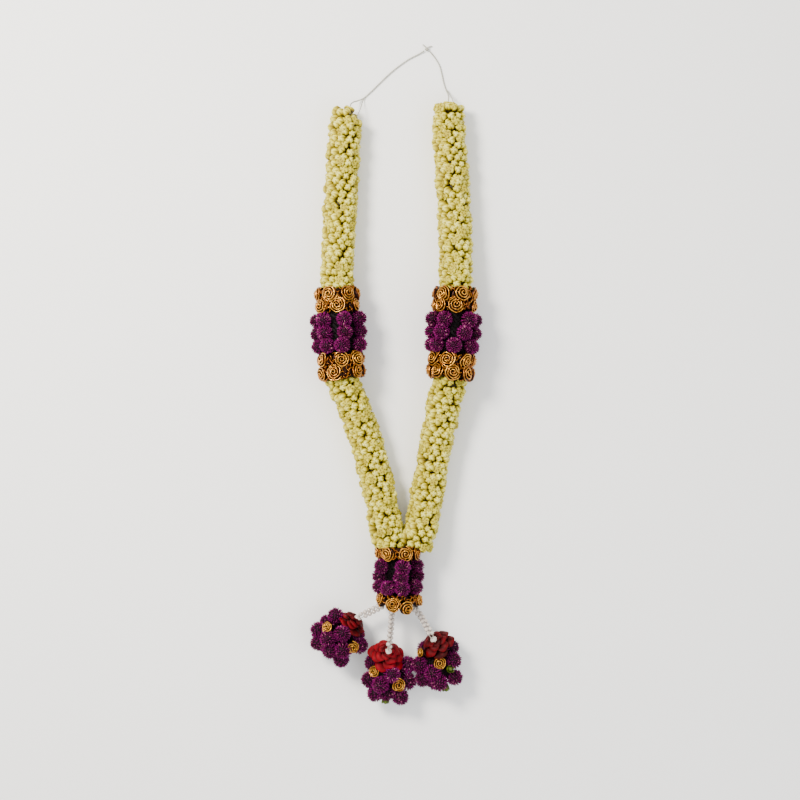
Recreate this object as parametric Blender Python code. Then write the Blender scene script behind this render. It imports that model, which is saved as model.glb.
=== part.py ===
"""A jasmine garland laid flat: four bud ropes, two collars, a pendant and three pearl-hung bunches.

Metres, +Z up. The garland lies on z = 0 with its neck end towards +Y, and the origin is on the
floor under the middle of its box.
"""

import math
import random

import bmesh
import bpy
from mathutils import Matrix, Vector

MM = 0.001
GAP = 0.3 * MM
FLAT_ANGLE = math.radians(0.05)

# Jasmine ropes: tied buds round a core cord
ROPE_TIP_RADIUS = 24.4 * MM
ROPE_VALLEY_RADIUS = 18.4 * MM
BUD_COLUMNS = 15
BUD_ROW_STEP = 9.7 * MM
BUD_SCATTER = 1.3 * MM
ROPE_END_ROUNDING = 15.0 * MM
CORE_CORD_RADIUS = 3.2 * MM
CORE_CORD_TURN = math.radians(9.0)
CORE_CORD_RUN = 70.0 * MM
HEXAGON_FACE = math.cos(math.pi / 6)

# Collars, from the upper rope to the lower one
COLLAR_TOP_Y = 161.0 * MM
COLLAR_UPPER_GOLD = 33.0 * MM
COLLAR_AMARANTH = 60.0 * MM
COLLAR_LOWER_GOLD = 35.0 * MM
ROSETTE_RING_RADIUS = 24.8 * MM
LOWER_ROSETTE_RING_RADIUS = 27.3 * MM
ROSETTE_SINK = 1.8 * MM
HEAD_RING_RADIUS = 30.0 * MM
SLEEVE_SIDES = 7

# Pendant, from the ropes down
PENDANT_X = 2.0 * MM
PENDANT_Z = 34.5 * MM
PENDANT_TOP_Y = -207.5 * MM
PENDANT_UPPER_GOLD = 16.5 * MM
PENDANT_AMARANTH = 51.5 * MM
PENDANT_LOWER_GOLD = 13.5 * MM
PENDANT_SLEEVE_SLANT = 6.0 * MM
PENDANT_GOLD_RADIUS = 26.5 * MM
PENDANT_HEAD_RING_RADIUS = 26.0 * MM
HEAD_SINK = 4.5 * MM

# Flowers
HEAD_RADIUS = 9.0 * MM
HEAD_SPIKE = 3.9 * MM
HEAD_SPACING = 17.0 * MM
PRESSED_BELOW = -0.42
ROSETTE_RADIUS = 9.2 * MM
HEAD_SIZES = (1.0, 1.08)
ROSETTE_SIZES = (1.0, 1.09)
ROSETTE_SIDES = 5
ROSE_PETALS = 5

# Pearls
PEARL_RADIUS = 2.95 * MM
PEARL_PITCH = 6.6 * MM
PEARL_ROW_OFFSET = 3.1 * MM
PEARL_ROW_PARTING = 6.0 * MM
PEARL_THREAD_RADIUS = 0.7 * MM
PEARL_SIDES = 5
STRAND_SUNK = 12.0 * MM
STRAND_FIRST_PEARL = 21.0 * MM
END_BEAD_RADIUS = 5.2 * MM
GREY_BEAD_RADIUS = 2.8 * MM

# Neck threads
NECK_THREAD_RADIUS = 1.1 * MM
NECK_THREAD_STEP = 9.0 * MM
NECK_KNOT_RADIUS = 3.4 * MM

# The line each side is tied along, from the neck to the pendant, in millimetres
LEFT_LINE = (
    (-67.5, 423.5, 22.8),
    (-73.0, 402.0, 22.8),
    (-76.0, 374.0, 22.8),
    (-79.5, 317.0, 22.9),
    (-82.0, 260.0, 24.2),
    (-85.0, 210.0, 31.5),
    (-86.0, 161.0, 37.6),
    (-82.5, 97.0, 38.0),
    (-78.0, 33.0, 37.4),
    (-68.5, 6.0, 33.5),
    (-56.0, -24.0, 26.5),
    (-44.5, -55.0, 23.2),
    (-35.5, -90.0, 22.8),
    (-27.5, -124.0, 23.0),
    (-20.5, -158.0, 26.0),
    (-14.5, -184.0, 31.5),
    (-9.0, -204.0, 34.2),
    (-6.0, -222.0, 34.5),
    (-4.5, -250.0, 34.5),
    (-4.0, -275.0, 34.5),
)
RIGHT_LINE = (
    (74.0, 430.5, 22.8),
    (73.5, 404.0, 22.8),
    (75.0, 374.0, 22.8),
    (79.5, 317.0, 22.9),
    (82.5, 260.0, 24.2),
    (83.0, 210.0, 31.5),
    (83.0, 161.0, 37.6),
    (80.5, 97.0, 38.0),
    (75.5, 33.0, 37.4),
    (70.0, 8.0, 33.5),
    (63.5, -22.0, 26.5),
    (56.5, -55.0, 23.2),
    (50.5, -90.0, 22.8),
    (44.5, -124.0, 23.0),
    (39.0, -158.0, 26.0),
    (34.5, -182.0, 31.5),
    (26.5, -201.0, 34.2),
    (16.0, -218.0, 34.5),
    (9.5, -245.0, 34.5),
    (8.0, -275.0, 34.5),
)
ROPE_MEETING_X = 10.0 * MM

# Flowers of each band, row by row: how far along the band the row is sewn, and each flower's angle
# round it in degrees. 90 is the middle of the side that is seen, 180 the left edge, 0 the right edge.
COLLAR_FLOWERS = {
    "left": {
        "gold_top": (
            (0.25, (170, 110, 56, 4, 312, 262, 216)),
            (0.75, (150, 88, 22, 332, 284, 238, 194)),
        ),
        "amaranth": (
            (0.19, (178, 132, 72, 14, 322, 272, 224)),
            (0.50, (182, 130, 72, 8, 318, 270, 226)),
            (0.81, (178, 124, 82, 20, 324, 276, 228)),
        ),
        "gold_bottom": (
            (0.25, (147, 86, 36, 350, 300, 250, 198)),
            (0.75, (158, 108, 44, 352, 302, 254, 206)),
        ),
    },
    "right": {
        "gold_top": (
            (0.25, (180, 128, 72, 10, 318, 270, 226)),
            (0.75, (176, 134, 90, 14, 322, 274, 226)),
        ),
        "amaranth": (
            (0.19, (176, 118, 46, 0, 314, 266, 222)),
            (0.50, (182, 126, 60, 8, 320, 272, 228)),
            (0.81, (186, 140, 88, 30, 340, 290, 236)),
        ),
        "gold_bottom": (
            (0.23, (154, 103, 50, 4, 314, 264, 210)),
            (0.74, (172, 130, 86, 40, 352, 296, 236)),
        ),
    },
}
PENDANT_FLOWERS = {
    "gold_top": ((0.50, (175, 122, 70, 14, 322, 270, 226)),),
    "amaranth": (
        (0.21, (156, 76, 6, 316, 262, 208)),
        (0.50, (178, 82, 2, 318, 270, 226)),
        (0.79, (178, 124, 78, 22, 326, 272, 224)),
    ),
}
# The lower gold ring droops at the front: each rosette's angle and how far it hangs below the heads
PENDANT_LOWER_ROSETTES = (
    (153, 6.8),
    (107, 12.5),
    (66, 17.0),
    (8, 8.5),
    (316, 6.8),
    (262, 6.8),
    (206, 6.8),
)

# Neck thread routes on the floor, in millimetres, each from its core cord to the knot
NECK_ROUTES = {
    "neck_thread_left": (
        (-67.1, 424.6, 22.8),
        (-66.3, 428.0, 22.2),
        (-62.6, 432.0, 15.6),
        (-56.4, 435.6, 5.6),
        (-48.0, 440.0, 1.4),
        (-37.2, 449.6, 1.25),
        (-26.6, 460.0, 1.25),
        (-7.0, 478.4, 1.25),
        (15.0, 494.8, 1.25),
        (32.8, 504.2, 1.5),
        (39.6, 508.3, 3.1),
    ),
    "neck_thread_right": (
        (74.0, 431.5, 22.8),
        (74.1, 435.0, 22.0),
        (74.4, 440.2, 12.6),
        (73.4, 446.4, 3.2),
        (70.4, 454.0, 1.25),
        (67.4, 464.0, 1.25),
        (64.8, 476.0, 1.25),
        (61.6, 487.2, 1.25),
        (55.0, 498.4, 1.5),
        (46.7, 508.2, 3.1),
    ),
}
NECK_KNOT_AT = (43.2, 510.6, 3.4)

# Bunches, in millimetres. Heads, rosettes and greens are offsets from the bunch's centre.
BUNCHES = {
    "left": {
        "centre": (-84.4, -341.1, 28.5),
        "reach": (28.0, 25.0, 19.5),
        "rose": ((20.0, 22.0, 1.0), (0.64, 0.70, 0.30), 22.5),
        "heads": (
            (7.0, 11.0, 20.5),
            (-29.5, 14.0, 3.0),
            (-30.0, -4.5, 3.0),
            (-13.5, 3.0, 17.0),
            (-3.5, 34.0, 4.0),
            (-10.5, -14.0, 14.0),
            (4.5, -27.5, 5.0),
            (33.0, -9.0, 0.0),
            (-17.0, 12.0, -14.5),
            (4.0, 14.0, -19.0),
            (-14.0, -13.0, -15.5),
            (12.0, -12.0, -19.5),
        ),
        "rosettes": (
            ((-14.3, 18.7, 14.0), (-0.42, 0.30, 0.86), 0.80),
            ((20.5, -9.0, 14.5), (0.30, -0.25, 0.92), 0.92),
        ),
        "greens": (),
        "strand_roll": 15.0,
        "strand": (
            (-5.8, -276.6, 34.0),
            (-12.5, -284.0, 34.0),
            (-24.0, -293.5, 33.0),
            (-39.0, -301.0, 33.0),
        ),
    },
    "middle": {
        "centre": (-12.9, -395.4, 28.5),
        "reach": (27.0, 25.0, 19.5),
        "rose": ((-1.6, 31.5, 9.0), (0.17, 0.62, 0.77), 24.5),
        "heads": (
            (-10.5, -8.0, 17.0),
            (-30.0, -3.0, 2.0),
            (-20.0, -24.0, 3.0),
            (17.5, -27.0, 5.0),
            (25.5, 14.0, 1.0),
            (27.0, -7.5, 0.5),
            (-2.0, -21.0, 6.0),
            (-15.0, 6.0, -18.0),
            (11.0, 10.0, -19.5),
            (1.0, -13.0, -19.5),
            (-22.0, 20.0, -4.0),
        ),
        "rosettes": (
            ((-18.5, 8.6, 7.6), (-0.55, 0.15, 0.82), 0.88),
            ((14.0, -8.2, 14.8), (0.20, -0.12, 0.97), 1.0),
        ),
        "greens": (((-3.5, -32.0, 3.0), (-0.10, -0.97, 0.20), 0.9),),
        "strand_roll": 55.0,
        "strand": (
            (1.0, -276.2, 33.5),
            (-3.0, -286.0, 33.5),
            (-7.0, -300.0, 33.0),
            (-8.5, -322.0, 36.0),
        ),
    },
    "right": {
        "centre": (57.2, -379.7, 28.5),
        "reach": (25.0, 24.0, 19.5),
        "rose": ((1.0, 32.5, 8.0), (-0.46, 0.62, 0.64), 23.0),
        "heads": (
            (-21.0, 2.0, 7.0),
            (-17.5, -18.5, 3.0),
            (3.5, -21.5, 11.0),
            (23.5, 9.5, 8.0),
            (25.5, -15.5, 2.0),
            (-14.0, 8.0, -16.5),
            (11.0, 8.0, -19.5),
            (0.0, -13.0, -19.5),
            (20.0, 26.0, -6.0),
            (-16.0, 24.0, -8.0),
            (-6.0, -7.0, 13.0),
        ),
        "rosettes": (
            ((-22.5, 20.5, 9.0), (-0.80, 0.15, 0.58), 0.70),
            ((3.0, 7.5, 17.5), (0.05, -0.08, 1.0), 0.92),
        ),
        "greens": (
            ((17.8, -1.6, 14.2), (0.45, 0.05, 0.90), 0.88),
            ((12.5, -29.0, 8.0), (0.15, -0.97, 0.20), 0.9),
        ),
        "strand_roll": 40.0,
        "strand": (
            (8.5, -276.2, 34.0),
            (16.0, -285.0, 34.0),
            (25.0, -296.0, 33.0),
            (36.0, -310.0, 35.0),
        ),
    },
}
BUNCH_PARTING_X = 23.5 * MM
BUNCH_CORE_SHARE = 0.78
BUNCH_HEAD_SIZES = (1.08, 1.20)
BUNCH_FILL_STEPS = 110
GOLDEN_ANGLE = math.pi * (3.0 - math.sqrt(5.0))
GREY_BEAD_OFFSET = (4.2, -7.4, 1.4)

COLOURS = {
    "jasmine": ((0.72, 0.66, 0.32), 0.62, 0.0),
    "cord": ((0.55, 0.50, 0.36), 0.85, 0.0),
    "thread": ((0.83, 0.82, 0.76), 0.70, 0.0),
    "gold": ((0.42, 0.17, 0.03), 0.38, 0.65),
    "amaranth": ((0.13, 0.004, 0.10), 0.70, 0.0),
    "rose": ((0.36, 0.002, 0.008), 0.60, 0.0),
    "pearl": ((0.66, 0.61, 0.56), 0.22, 0.0),
    "grey": ((0.36, 0.33, 0.33), 0.30, 0.0),
    "green": ((0.10, 0.20, 0.04), 0.60, 0.0),
}


def millimetres(point):
    """Turn a point written in millimetres into a vector in metres."""
    return Vector(point) * MM


def make_material(name):
    """Make a Principled material with the piece's colour, roughness and metallic value."""
    colour, roughness, metallic = COLOURS[name]
    material = bpy.data.materials.new(name)
    material.use_nodes = True
    shader = material.node_tree.nodes["Principled BSDF"]
    shader.inputs["Base Color"].default_value = (*colour, 1.0)
    shader.inputs["Roughness"].default_value = roughness
    shader.inputs["Metallic"].default_value = metallic
    return material


class Line:
    """A smooth curve through points, read by its distance from the first one."""

    def __init__(self, points, step=2.0 * MM):
        self.points = []
        count = len(points)
        for index in range(count - 1):
            before = points[max(index - 1, 0)]
            start, end = points[index], points[index + 1]
            after = points[min(index + 2, count - 1)]
            pieces = max(2, round((end - start).length / step))
            for piece in range(pieces):
                t = piece / pieces
                self.points.append(
                    0.5
                    * (
                        2.0 * start
                        + (end - before) * t
                        + (2.0 * before - 5.0 * start + 4.0 * end - after) * t * t
                        + (3.0 * start - before - 3.0 * end + after) * t**3
                    )
                )
        self.points.append(points[-1].copy())
        self.distances = [0.0]
        for first, second in zip(self.points, self.points[1:]):
            self.distances.append(self.distances[-1] + (second - first).length)
        self.length = self.distances[-1]

    def at(self, distance):
        """Give the point at a distance, carried straight on past either end."""
        last = len(self.points) - 2
        index = 0
        while index < last and self.distances[index + 1] < distance:
            index += 1
        span = self.distances[index + 1] - self.distances[index]
        share = (distance - self.distances[index]) / span
        return self.points[index].lerp(self.points[index + 1], share)

    def frame(self, distance, reach=4.0 * MM):
        """Give the point, the direction along the line, sideways and upwards."""
        along = (self.at(distance + reach) - self.at(distance - reach)).normalized()
        side = along.cross(Vector((0.0, 0.0, 1.0))).normalized()
        return self.at(distance), along, side, side.cross(along)

    def distance_at_y(self, y):
        """Find how far along the line its Y first falls to a value."""
        for index, point in enumerate(self.points):
            if point.y <= y:
                return self.distances[index]
        return self.length

    def stretch(self, start, end, step):
        """Give evenly spaced points from one distance to another."""
        pieces = max(1, round((end - start) / step))
        return [self.at(start + (end - start) * piece / pieces) for piece in range(pieces + 1)]


def mesh_object(name, mesh, material=None, matrix=None):
    """Put a mesh in the scene under a name."""
    piece = bpy.data.objects.new(name, mesh)
    bpy.context.scene.collection.objects.link(piece)
    if material:
        mesh.materials.clear()
        mesh.materials.append(material)
    if matrix:
        piece.matrix_world = matrix
    return piece


def mesh_from_rings(name, rings, staggered=False):
    """Skin a row of rings of equal count, close both ends and face everything outwards."""
    shape = bmesh.new()
    loops = [[shape.verts.new(point) for point in ring] for ring in rings]
    for index, (low, high) in enumerate(zip(loops, loops[1:])):
        turned = staggered and index % 2
        for column in range(len(low)):
            after = (column + 1) % len(low)
            corners = (low[column], low[after], high[after], high[column])
            if turned:
                shape.faces.new((corners[0], corners[1], corners[2]))
                shape.faces.new((corners[0], corners[2], corners[3]))
            else:
                shape.faces.new((corners[0], corners[1], corners[3]))
                shape.faces.new((corners[1], corners[2], corners[3]))
    shape.faces.new(loops[0])
    shape.faces.new(loops[-1])
    bmesh.ops.recalc_face_normals(shape, faces=shape.faces[:])
    join_flat_faces(shape)
    mesh = bpy.data.meshes.new(name)
    shape.to_mesh(mesh)
    shape.free()
    return mesh


def remove_object(piece):
    """Take a helper object out of the file."""
    bpy.data.objects.remove(piece, do_unlink=True)


def join_flat_faces(shape):
    """Join neighbouring faces that lie in one plane, and drop corners that lie on a straight edge."""
    bmesh.ops.dissolve_limit(
        shape,
        angle_limit=FLAT_ANGLE,
        use_dissolve_boundaries=False,
        verts=shape.verts[:],
        edges=shape.edges[:],
    )


def drop_scraps(mesh):
    """Keep the largest closed body of a mesh and drop the loose scraps that a cut leaves."""
    shape = bmesh.new()
    shape.from_mesh(mesh)
    waiting = set(shape.faces)
    bodies = []
    while waiting:
        body = []
        front = [waiting.pop()]
        while front:
            face = front.pop()
            body.append(face)
            for edge in face.edges:
                for beside in edge.link_faces:
                    if beside in waiting:
                        waiting.remove(beside)
                        front.append(beside)
        bodies.append(body)
    bodies.sort(key=lambda body: sum(face.calc_area() for face in body))
    for body in bodies[:-1]:
        bmesh.ops.delete(shape, geom=body, context="FACES")
    join_flat_faces(shape)
    shape.to_mesh(mesh)
    shape.free()


def combine(target, operation, tools):
    """Join the tools to the target, or cut them out of it, and drop the tools and the scraps."""
    if not tools:
        return
    group = bpy.data.collections.new("tools")
    bpy.context.scene.collection.children.link(group)
    for tool in tools:
        group.objects.link(tool)
    boolean = target.modifiers.new(operation, "BOOLEAN")
    boolean.operation = operation
    boolean.operand_type = "COLLECTION"
    boolean.collection = group
    boolean.solver = "MANIFOLD"
    depsgraph = bpy.context.evaluated_depsgraph_get()
    result = bpy.data.meshes.new_from_object(target.evaluated_get(depsgraph))
    target.modifiers.clear()
    target.data = result
    if operation == "DIFFERENCE":
        drop_scraps(result)
    for tool in tools:
        remove_object(tool)
    bpy.data.collections.remove(group)


def half_space(point, outwards):
    """Make a large block whose near face passes through a point."""
    size = 0.4
    shape = bmesh.new()
    bmesh.ops.create_cube(shape, size=size)
    mesh = bpy.data.meshes.new("half space")
    shape.to_mesh(mesh)
    shape.free()
    turn = Vector(outwards).to_track_quat("Z", "Y").to_matrix().to_4x4()
    place = Matrix.Translation(Vector(point) + Vector(outwards).normalized() * size / 2)
    return mesh_object("half space", mesh, matrix=place @ turn)


def floor_block():
    """Make a block whose top is the surface that the garland lies on."""
    shape = bmesh.new()
    bmesh.ops.create_cube(shape, size=2.0)
    mesh = bpy.data.meshes.new("floor")
    shape.to_mesh(mesh)
    shape.free()
    return mesh_object("floor", mesh, matrix=Matrix.Translation((0.0, 0.0, -1.0)))


def grown_hull(piece, gap=GAP):
    """Wrap a piece in a tight hull that stands a gap clear of it."""
    shape = bmesh.new()
    shape.from_mesh(piece.data)
    shape.transform(piece.matrix_world)
    hull = bmesh.ops.convex_hull(shape, input=shape.verts[:], use_existing_faces=False)
    inside = [item for item in hull["geom_interior"] if isinstance(item, bmesh.types.BMVert)]
    bmesh.ops.delete(shape, geom=inside, context="VERTS")
    kept = {item for item in hull["geom"] if isinstance(item, bmesh.types.BMFace)}
    spare = [face for face in shape.faces if face not in kept]
    bmesh.ops.delete(shape, geom=spare, context="FACES")
    bmesh.ops.recalc_face_normals(shape, faces=shape.faces[:])
    shape.normal_update()
    moves = [(corner, corner.normal * gap * corner.calc_shell_factor()) for corner in shape.verts]
    for corner, move in moves:
        corner.co += move
    mesh = bpy.data.meshes.new("hull")
    shape.to_mesh(mesh)
    shape.free()
    return mesh_object("hull", mesh)


def cord_curve(name, points, radius, material=None, resolution=2):
    """Sweep a round cord along points, with closed ends."""
    curve = bpy.data.curves.new(name, "CURVE")
    curve.dimensions = "3D"
    curve.bevel_depth = radius
    curve.bevel_resolution = resolution
    curve.use_fill_caps = True
    spline = curve.splines.new("POLY")
    spline.points.add(len(points) - 1)
    for corner, point in zip(spline.points, points):
        corner.co = (*point, 1.0)
    if material:
        curve.materials.append(material)
    piece = bpy.data.objects.new(name, curve)
    bpy.context.scene.collection.objects.link(piece)
    return piece


def as_mesh(curve):
    """Turn a swept cord into a closed mesh and drop the curve."""
    depsgraph = bpy.context.evaluated_depsgraph_get()
    mesh = bpy.data.meshes.new_from_object(curve.evaluated_get(depsgraph))
    shape = bmesh.new()
    shape.from_mesh(mesh)
    bmesh.ops.remove_doubles(shape, verts=shape.verts[:], dist=0.001 * MM)
    bmesh.ops.recalc_face_normals(shape, faces=shape.faces[:])
    shape.to_mesh(mesh)
    shape.free()
    name, matrix = curve.name, curve.matrix_world.copy()
    remove_object(curve)
    return mesh_object(name, mesh, matrix=matrix)


def core_stations(line):
    """Give the distances of a core cord's corners: one wherever its line has turned or run on enough."""
    stations = [0.0]
    step = 4.0 * MM
    heading = line.frame(0.0)[1]
    distance = step
    while distance < line.length - 3.0 * step:
        turned = heading.angle(line.frame(distance)[1]) > CORE_CORD_TURN
        if turned or distance - stations[-1] > CORE_CORD_RUN:
            stations.append(distance)
            heading = line.frame(distance)[1]
        distance += step
    return [*stations, line.length]


def core_bore(line, start, end):
    """Make the cutter for the hole that a core cord runs through."""
    radius = CORE_CORD_RADIUS + GAP / HEXAGON_FACE
    stations = core_stations(line)
    first = max([station for station in stations if station <= start], default=stations[0])
    last = min([station for station in stations if station >= end], default=stations[-1])
    points = [line.at(station) for station in stations if first <= station <= last]
    if start < 0.0:
        points.insert(0, line.at(start))
    if end > line.length:
        points.append(line.at(end))
    return as_mesh(cord_curve("core bore", points, radius, resolution=1))


def bud_rope(name, line, start, end, seed, material, open_top):
    """Raise tied jasmine buds from a rope: every third point of a staggered net is a bud's tip."""
    draw = random.Random(seed)
    rows = round((end - start) / BUD_ROW_STEP)
    rings = []
    for row in range(rows + 1):
        distance = start + (end - start) * row / rows
        centre, along, side, up = line.frame(distance)
        taper = 1.0
        if open_top and distance - start < ROPE_END_ROUNDING:
            depth = 1.0 - (distance - start) / ROPE_END_ROUNDING
            taper = math.sqrt(1.0 - 0.8 * depth * depth)
        ring = []
        for column in range(BUD_COLUMNS):
            angle = math.tau * (column + 0.5 * (row % 2)) / BUD_COLUMNS
            tip = (column - row // 2 - row) % 3 == 0 and 0 < row < rows
            radius = (ROPE_TIP_RADIUS if tip else ROPE_VALLEY_RADIUS) * taper
            radius += draw.uniform(-1.0, 1.0) * BUD_SCATTER * (1.0 if tip else 0.5)
            outwards = side * math.cos(angle) + up * math.sin(angle)
            lean = draw.uniform(-1.0, 1.0) * BUD_SCATTER if tip else 0.0
            ring.append(centre + outwards * radius + along * lean)
        rings.append(ring)
    return mesh_object(name, mesh_from_rings(name, rings, staggered=True), material)


def sleeve(name, line, span, radius, material, slant=0.0):
    """Make the plain sleeve that a band of flowers is sewn to, with its far end square or slanted."""
    rings = []
    for distance, slope in ((span[0], 0.0), (span[1], slant)):
        centre, along, side, up = line.frame(distance)
        ring = []
        for step in range(SLEEVE_SIDES):
            angle = math.tau * (step + 0.25) / SLEEVE_SIDES
            outwards = side * math.cos(angle) + up * math.sin(angle)
            ring.append(centre + outwards * radius + along * slope * math.sin(angle))
        rings.append(ring)
    return mesh_object(name, mesh_from_rings(name, rings), material)


def head_mesh(pressed=False):
    """Make one globe amaranth head, a ball with pointed bracts on the half that faces +Z.

    A pressed head is one that the garland lies on: its ball is a little larger and its bracts are flat.
    """
    shape = bmesh.new()
    radius = HEAD_RADIUS * (1.15 if pressed else 1.0)
    bmesh.ops.create_icosphere(shape, subdivisions=1, radius=radius)
    if not pressed:
        outer = [face for face in shape.faces if face.calc_center_median().z > 0.0]
        bmesh.ops.poke(shape, faces=outer, offset=HEAD_SPIKE)
    mesh = bpy.data.meshes.new("amaranth head")
    shape.to_mesh(mesh)
    shape.free()
    return mesh


def bloom_rings(rings, points, twist):
    """Lay out rings of a bloom about +Z, each turned a little further than the last."""
    laid = []
    for index, (radius, height, ruffle) in enumerate(rings):
        ring = []
        for corner in range(points):
            wave = ruffle * (1.0 if (corner + index // 2) % 2 else -1.0)
            angle = math.tau * corner / points + twist * max(0, index - 1)
            reach = radius * (1.0 + wave)
            ring.append(Vector((reach * math.cos(angle), reach * math.sin(angle), height)))
        laid.append(ring)
    return laid


def rosette_mesh(pressed=False):
    """Make one rosette of rolled gold ribbon, with its back sunk below z = 0.

    A pressed rosette is one underneath, whose folds are squeezed into one flat face.
    """
    size = ROSETTE_RADIUS
    rings = [(0.80 * size, -0.70 * size, 0.0), (1.00 * size, 0.50 * size, 0.0)]
    if not pressed:
        rings.append((0.60 * size, 0.25 * size, 0.0))
        rings.append((0.34 * size, 0.80 * size, 0.0))
    return mesh_from_rings("gold rosette", bloom_rings(rings, ROSETTE_SIDES, 0.4))


def rose_mesh(radius):
    """Make one red rose: three rounds of petals about a closed heart, facing +Z."""
    rings = (
        (0.22 * radius, -0.52 * radius, 0.0),
        (0.72 * radius, -0.24 * radius, 0.03),
        (0.96 * radius, 0.08 * radius, 0.06),
        (0.74 * radius, 0.02 * radius, 0.04),
        (0.66 * radius, 0.34 * radius, 0.07),
        (0.48 * radius, 0.20 * radius, 0.04),
        (0.40 * radius, 0.48 * radius, 0.08),
        (0.22 * radius, 0.30 * radius, 0.03),
    )
    return mesh_from_rings("red rose", bloom_rings(rings, 2 * ROSE_PETALS, 0.16))


def green_mesh():
    """Make one green bud in its pointed sepals, facing +Z."""
    size = 5.0 * MM
    rings = (
        (0.45 * size, -1.2 * size, 0.0),
        (1.00 * size, -0.2 * size, 0.25),
        (0.70 * size, 0.6 * size, 0.10),
        (0.20 * size, 1.1 * size, 0.0),
    )
    return mesh_from_rings("green bud", bloom_rings(rings, 6, 0.2))


def facing(place, direction, size=1.0, spin=0.0):
    """Give the matrix that stands a +Z bloom at a place, turned to a direction."""
    turn = Vector(direction).to_track_quat("Z", "Y").to_matrix().to_4x4()
    return Matrix.Translation(place) @ turn @ Matrix.Rotation(spin, 4, "Z") @ Matrix.Scale(size, 4)


def blooms_round(kinds, sizes, line, places, radius, draw):
    """Place blooms round a line, each facing outwards with a small random turn.

    A place is a distance along the line and an angle round it in degrees, as seen from its end. The
    first of the two kinds goes on top and round the sides, the second one underneath.
    """
    blooms = []
    for distance, degrees in places:
        angle = math.pi - math.radians(degrees)
        mesh = kinds[0] if math.sin(angle) > PRESSED_BELOW else kinds[1]
        centre, along, side, up = line.frame(distance)
        outwards = side * math.cos(angle) + up * math.sin(angle)
        place = centre + outwards * radius + along * draw.uniform(-0.4, 0.4) * MM
        lean = outwards + along * draw.uniform(-0.16, 0.16)
        matrix = facing(place, lean, draw.uniform(*sizes), draw.uniform(0.0, math.tau))
        blooms.append(mesh_object("bloom", mesh, matrix=matrix))
    return blooms


def flower_places(rows, span):
    """Turn a band's rows of flowers into distances along the line and angles round it."""
    low, high = span
    return [(low + (high - low) * share, degrees) for share, angles in rows for degrees in angles]


def band_ends(line, start, end):
    """Make the two blocks that trim a band square at its ends."""
    first, along_first, _, _ = line.frame(start)
    last, along_last, _, _ = line.frame(end)
    return [half_space(first, -along_first), half_space(last, along_last)]


def flower_band(name, line, span, radius, blooms, bores, material, slant=None, resting=False):
    """Sew blooms to a sleeve, trim the band square and bore it for what runs through it."""
    band = sleeve(name, line, span, radius, material, slant or 0.0)
    combine(band, "UNION", blooms)
    cutters = list(bores)
    if slant is None:
        cutters += band_ends(line, *span)
    if resting:
        cutters.append(floor_block())
    combine(band, "DIFFERENCE", cutters)
    return band


def make_collar(side_name, line, start, meshes, materials, draw):
    """Make one collar: gold rosettes, three rows of amaranth heads, gold rosettes."""
    bands = (
        ("gold_top", COLLAR_UPPER_GOLD, ROSETTE_RING_RADIUS),
        ("amaranth", COLLAR_AMARANTH, HEAD_RING_RADIUS),
        ("gold_bottom", COLLAR_LOWER_GOLD, LOWER_ROSETTE_RING_RADIUS),
    )
    made = []
    for band_name, length, radius in bands:
        span = (start + GAP / 2, start + length - GAP / 2)
        gold = band_name != "amaranth"
        places = flower_places(COLLAR_FLOWERS[side_name][band_name], span)
        kinds, sizes = meshes["rosettes" if gold else "heads"], ROSETTE_SIZES if gold else HEAD_SIZES
        blooms = blooms_round(kinds, sizes, line, places, radius, draw)
        sleeve_radius = radius - (ROSETTE_SINK if gold else HEAD_SINK)
        bores = [core_bore(line, span[0] - 20.0 * MM, span[1] + 20.0 * MM)]
        material = materials["gold" if gold else "amaranth"]
        name = f"collar_{side_name}_{band_name}"
        made.append(
            flower_band(name, line, span, sleeve_radius, blooms, bores, material, resting=not gold)
        )
        start += length
    return made


def make_pendant(lines, meshes, materials, draw, strand_bores):
    """Make the pendant: gold rosettes, three rows of amaranth heads and a drooping gold ring."""
    top = Vector((PENDANT_X, PENDANT_TOP_Y, PENDANT_Z))
    axis = Line([top, top + Vector((0.0, -0.05, 0.0)), top + Vector((0.0, -0.10, 0.0))])
    gold_radius = PENDANT_GOLD_RADIUS - ROSETTE_SINK
    rosettes = meshes["rosettes"]

    def cord_bores():
        return [core_bore(line, line.length - 95.0 * MM, line.length + 1.0 * MM) for line in lines]

    span = (GAP / 2, PENDANT_UPPER_GOLD - GAP / 2)
    places = flower_places(PENDANT_FLOWERS["gold_top"], span)
    blooms = blooms_round(rosettes, ROSETTE_SIZES, axis, places, PENDANT_GOLD_RADIUS, draw)
    name, material = "pendant_gold_top", materials["gold"]
    made = [flower_band(name, axis, span, gold_radius, blooms, cord_bores(), material)]

    end = PENDANT_UPPER_GOLD + PENDANT_AMARANTH
    span = (PENDANT_UPPER_GOLD + GAP / 2, end - GAP / 2)
    places = flower_places(PENDANT_FLOWERS["amaranth"], span)
    heads = meshes["heads"]
    blooms = blooms_round(heads, HEAD_SIZES, axis, places, PENDANT_HEAD_RING_RADIUS, draw)
    name, material = "pendant_amaranth", materials["amaranth"]
    radius = PENDANT_HEAD_RING_RADIUS - HEAD_SINK
    made.append(
        flower_band(name, axis, span, radius, blooms, cord_bores(), material, resting=True)
    )

    span = (end + GAP / 2, end + PENDANT_LOWER_GOLD)
    places = [(end + hang * MM, degrees) for degrees, hang in PENDANT_LOWER_ROSETTES]
    blooms = blooms_round(rosettes, ROSETTE_SIZES, axis, places, PENDANT_GOLD_RADIUS, draw)
    name, material = "pendant_gold_bottom", materials["gold"]
    bores = [*strand_bores, half_space(axis.at(span[0]), (0.0, 1.0, 0.0))]
    slant = PENDANT_SLEEVE_SLANT
    made.append(
        flower_band(name, axis, span, gold_radius, blooms, bores, material, slant=slant)
    )
    return made


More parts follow.
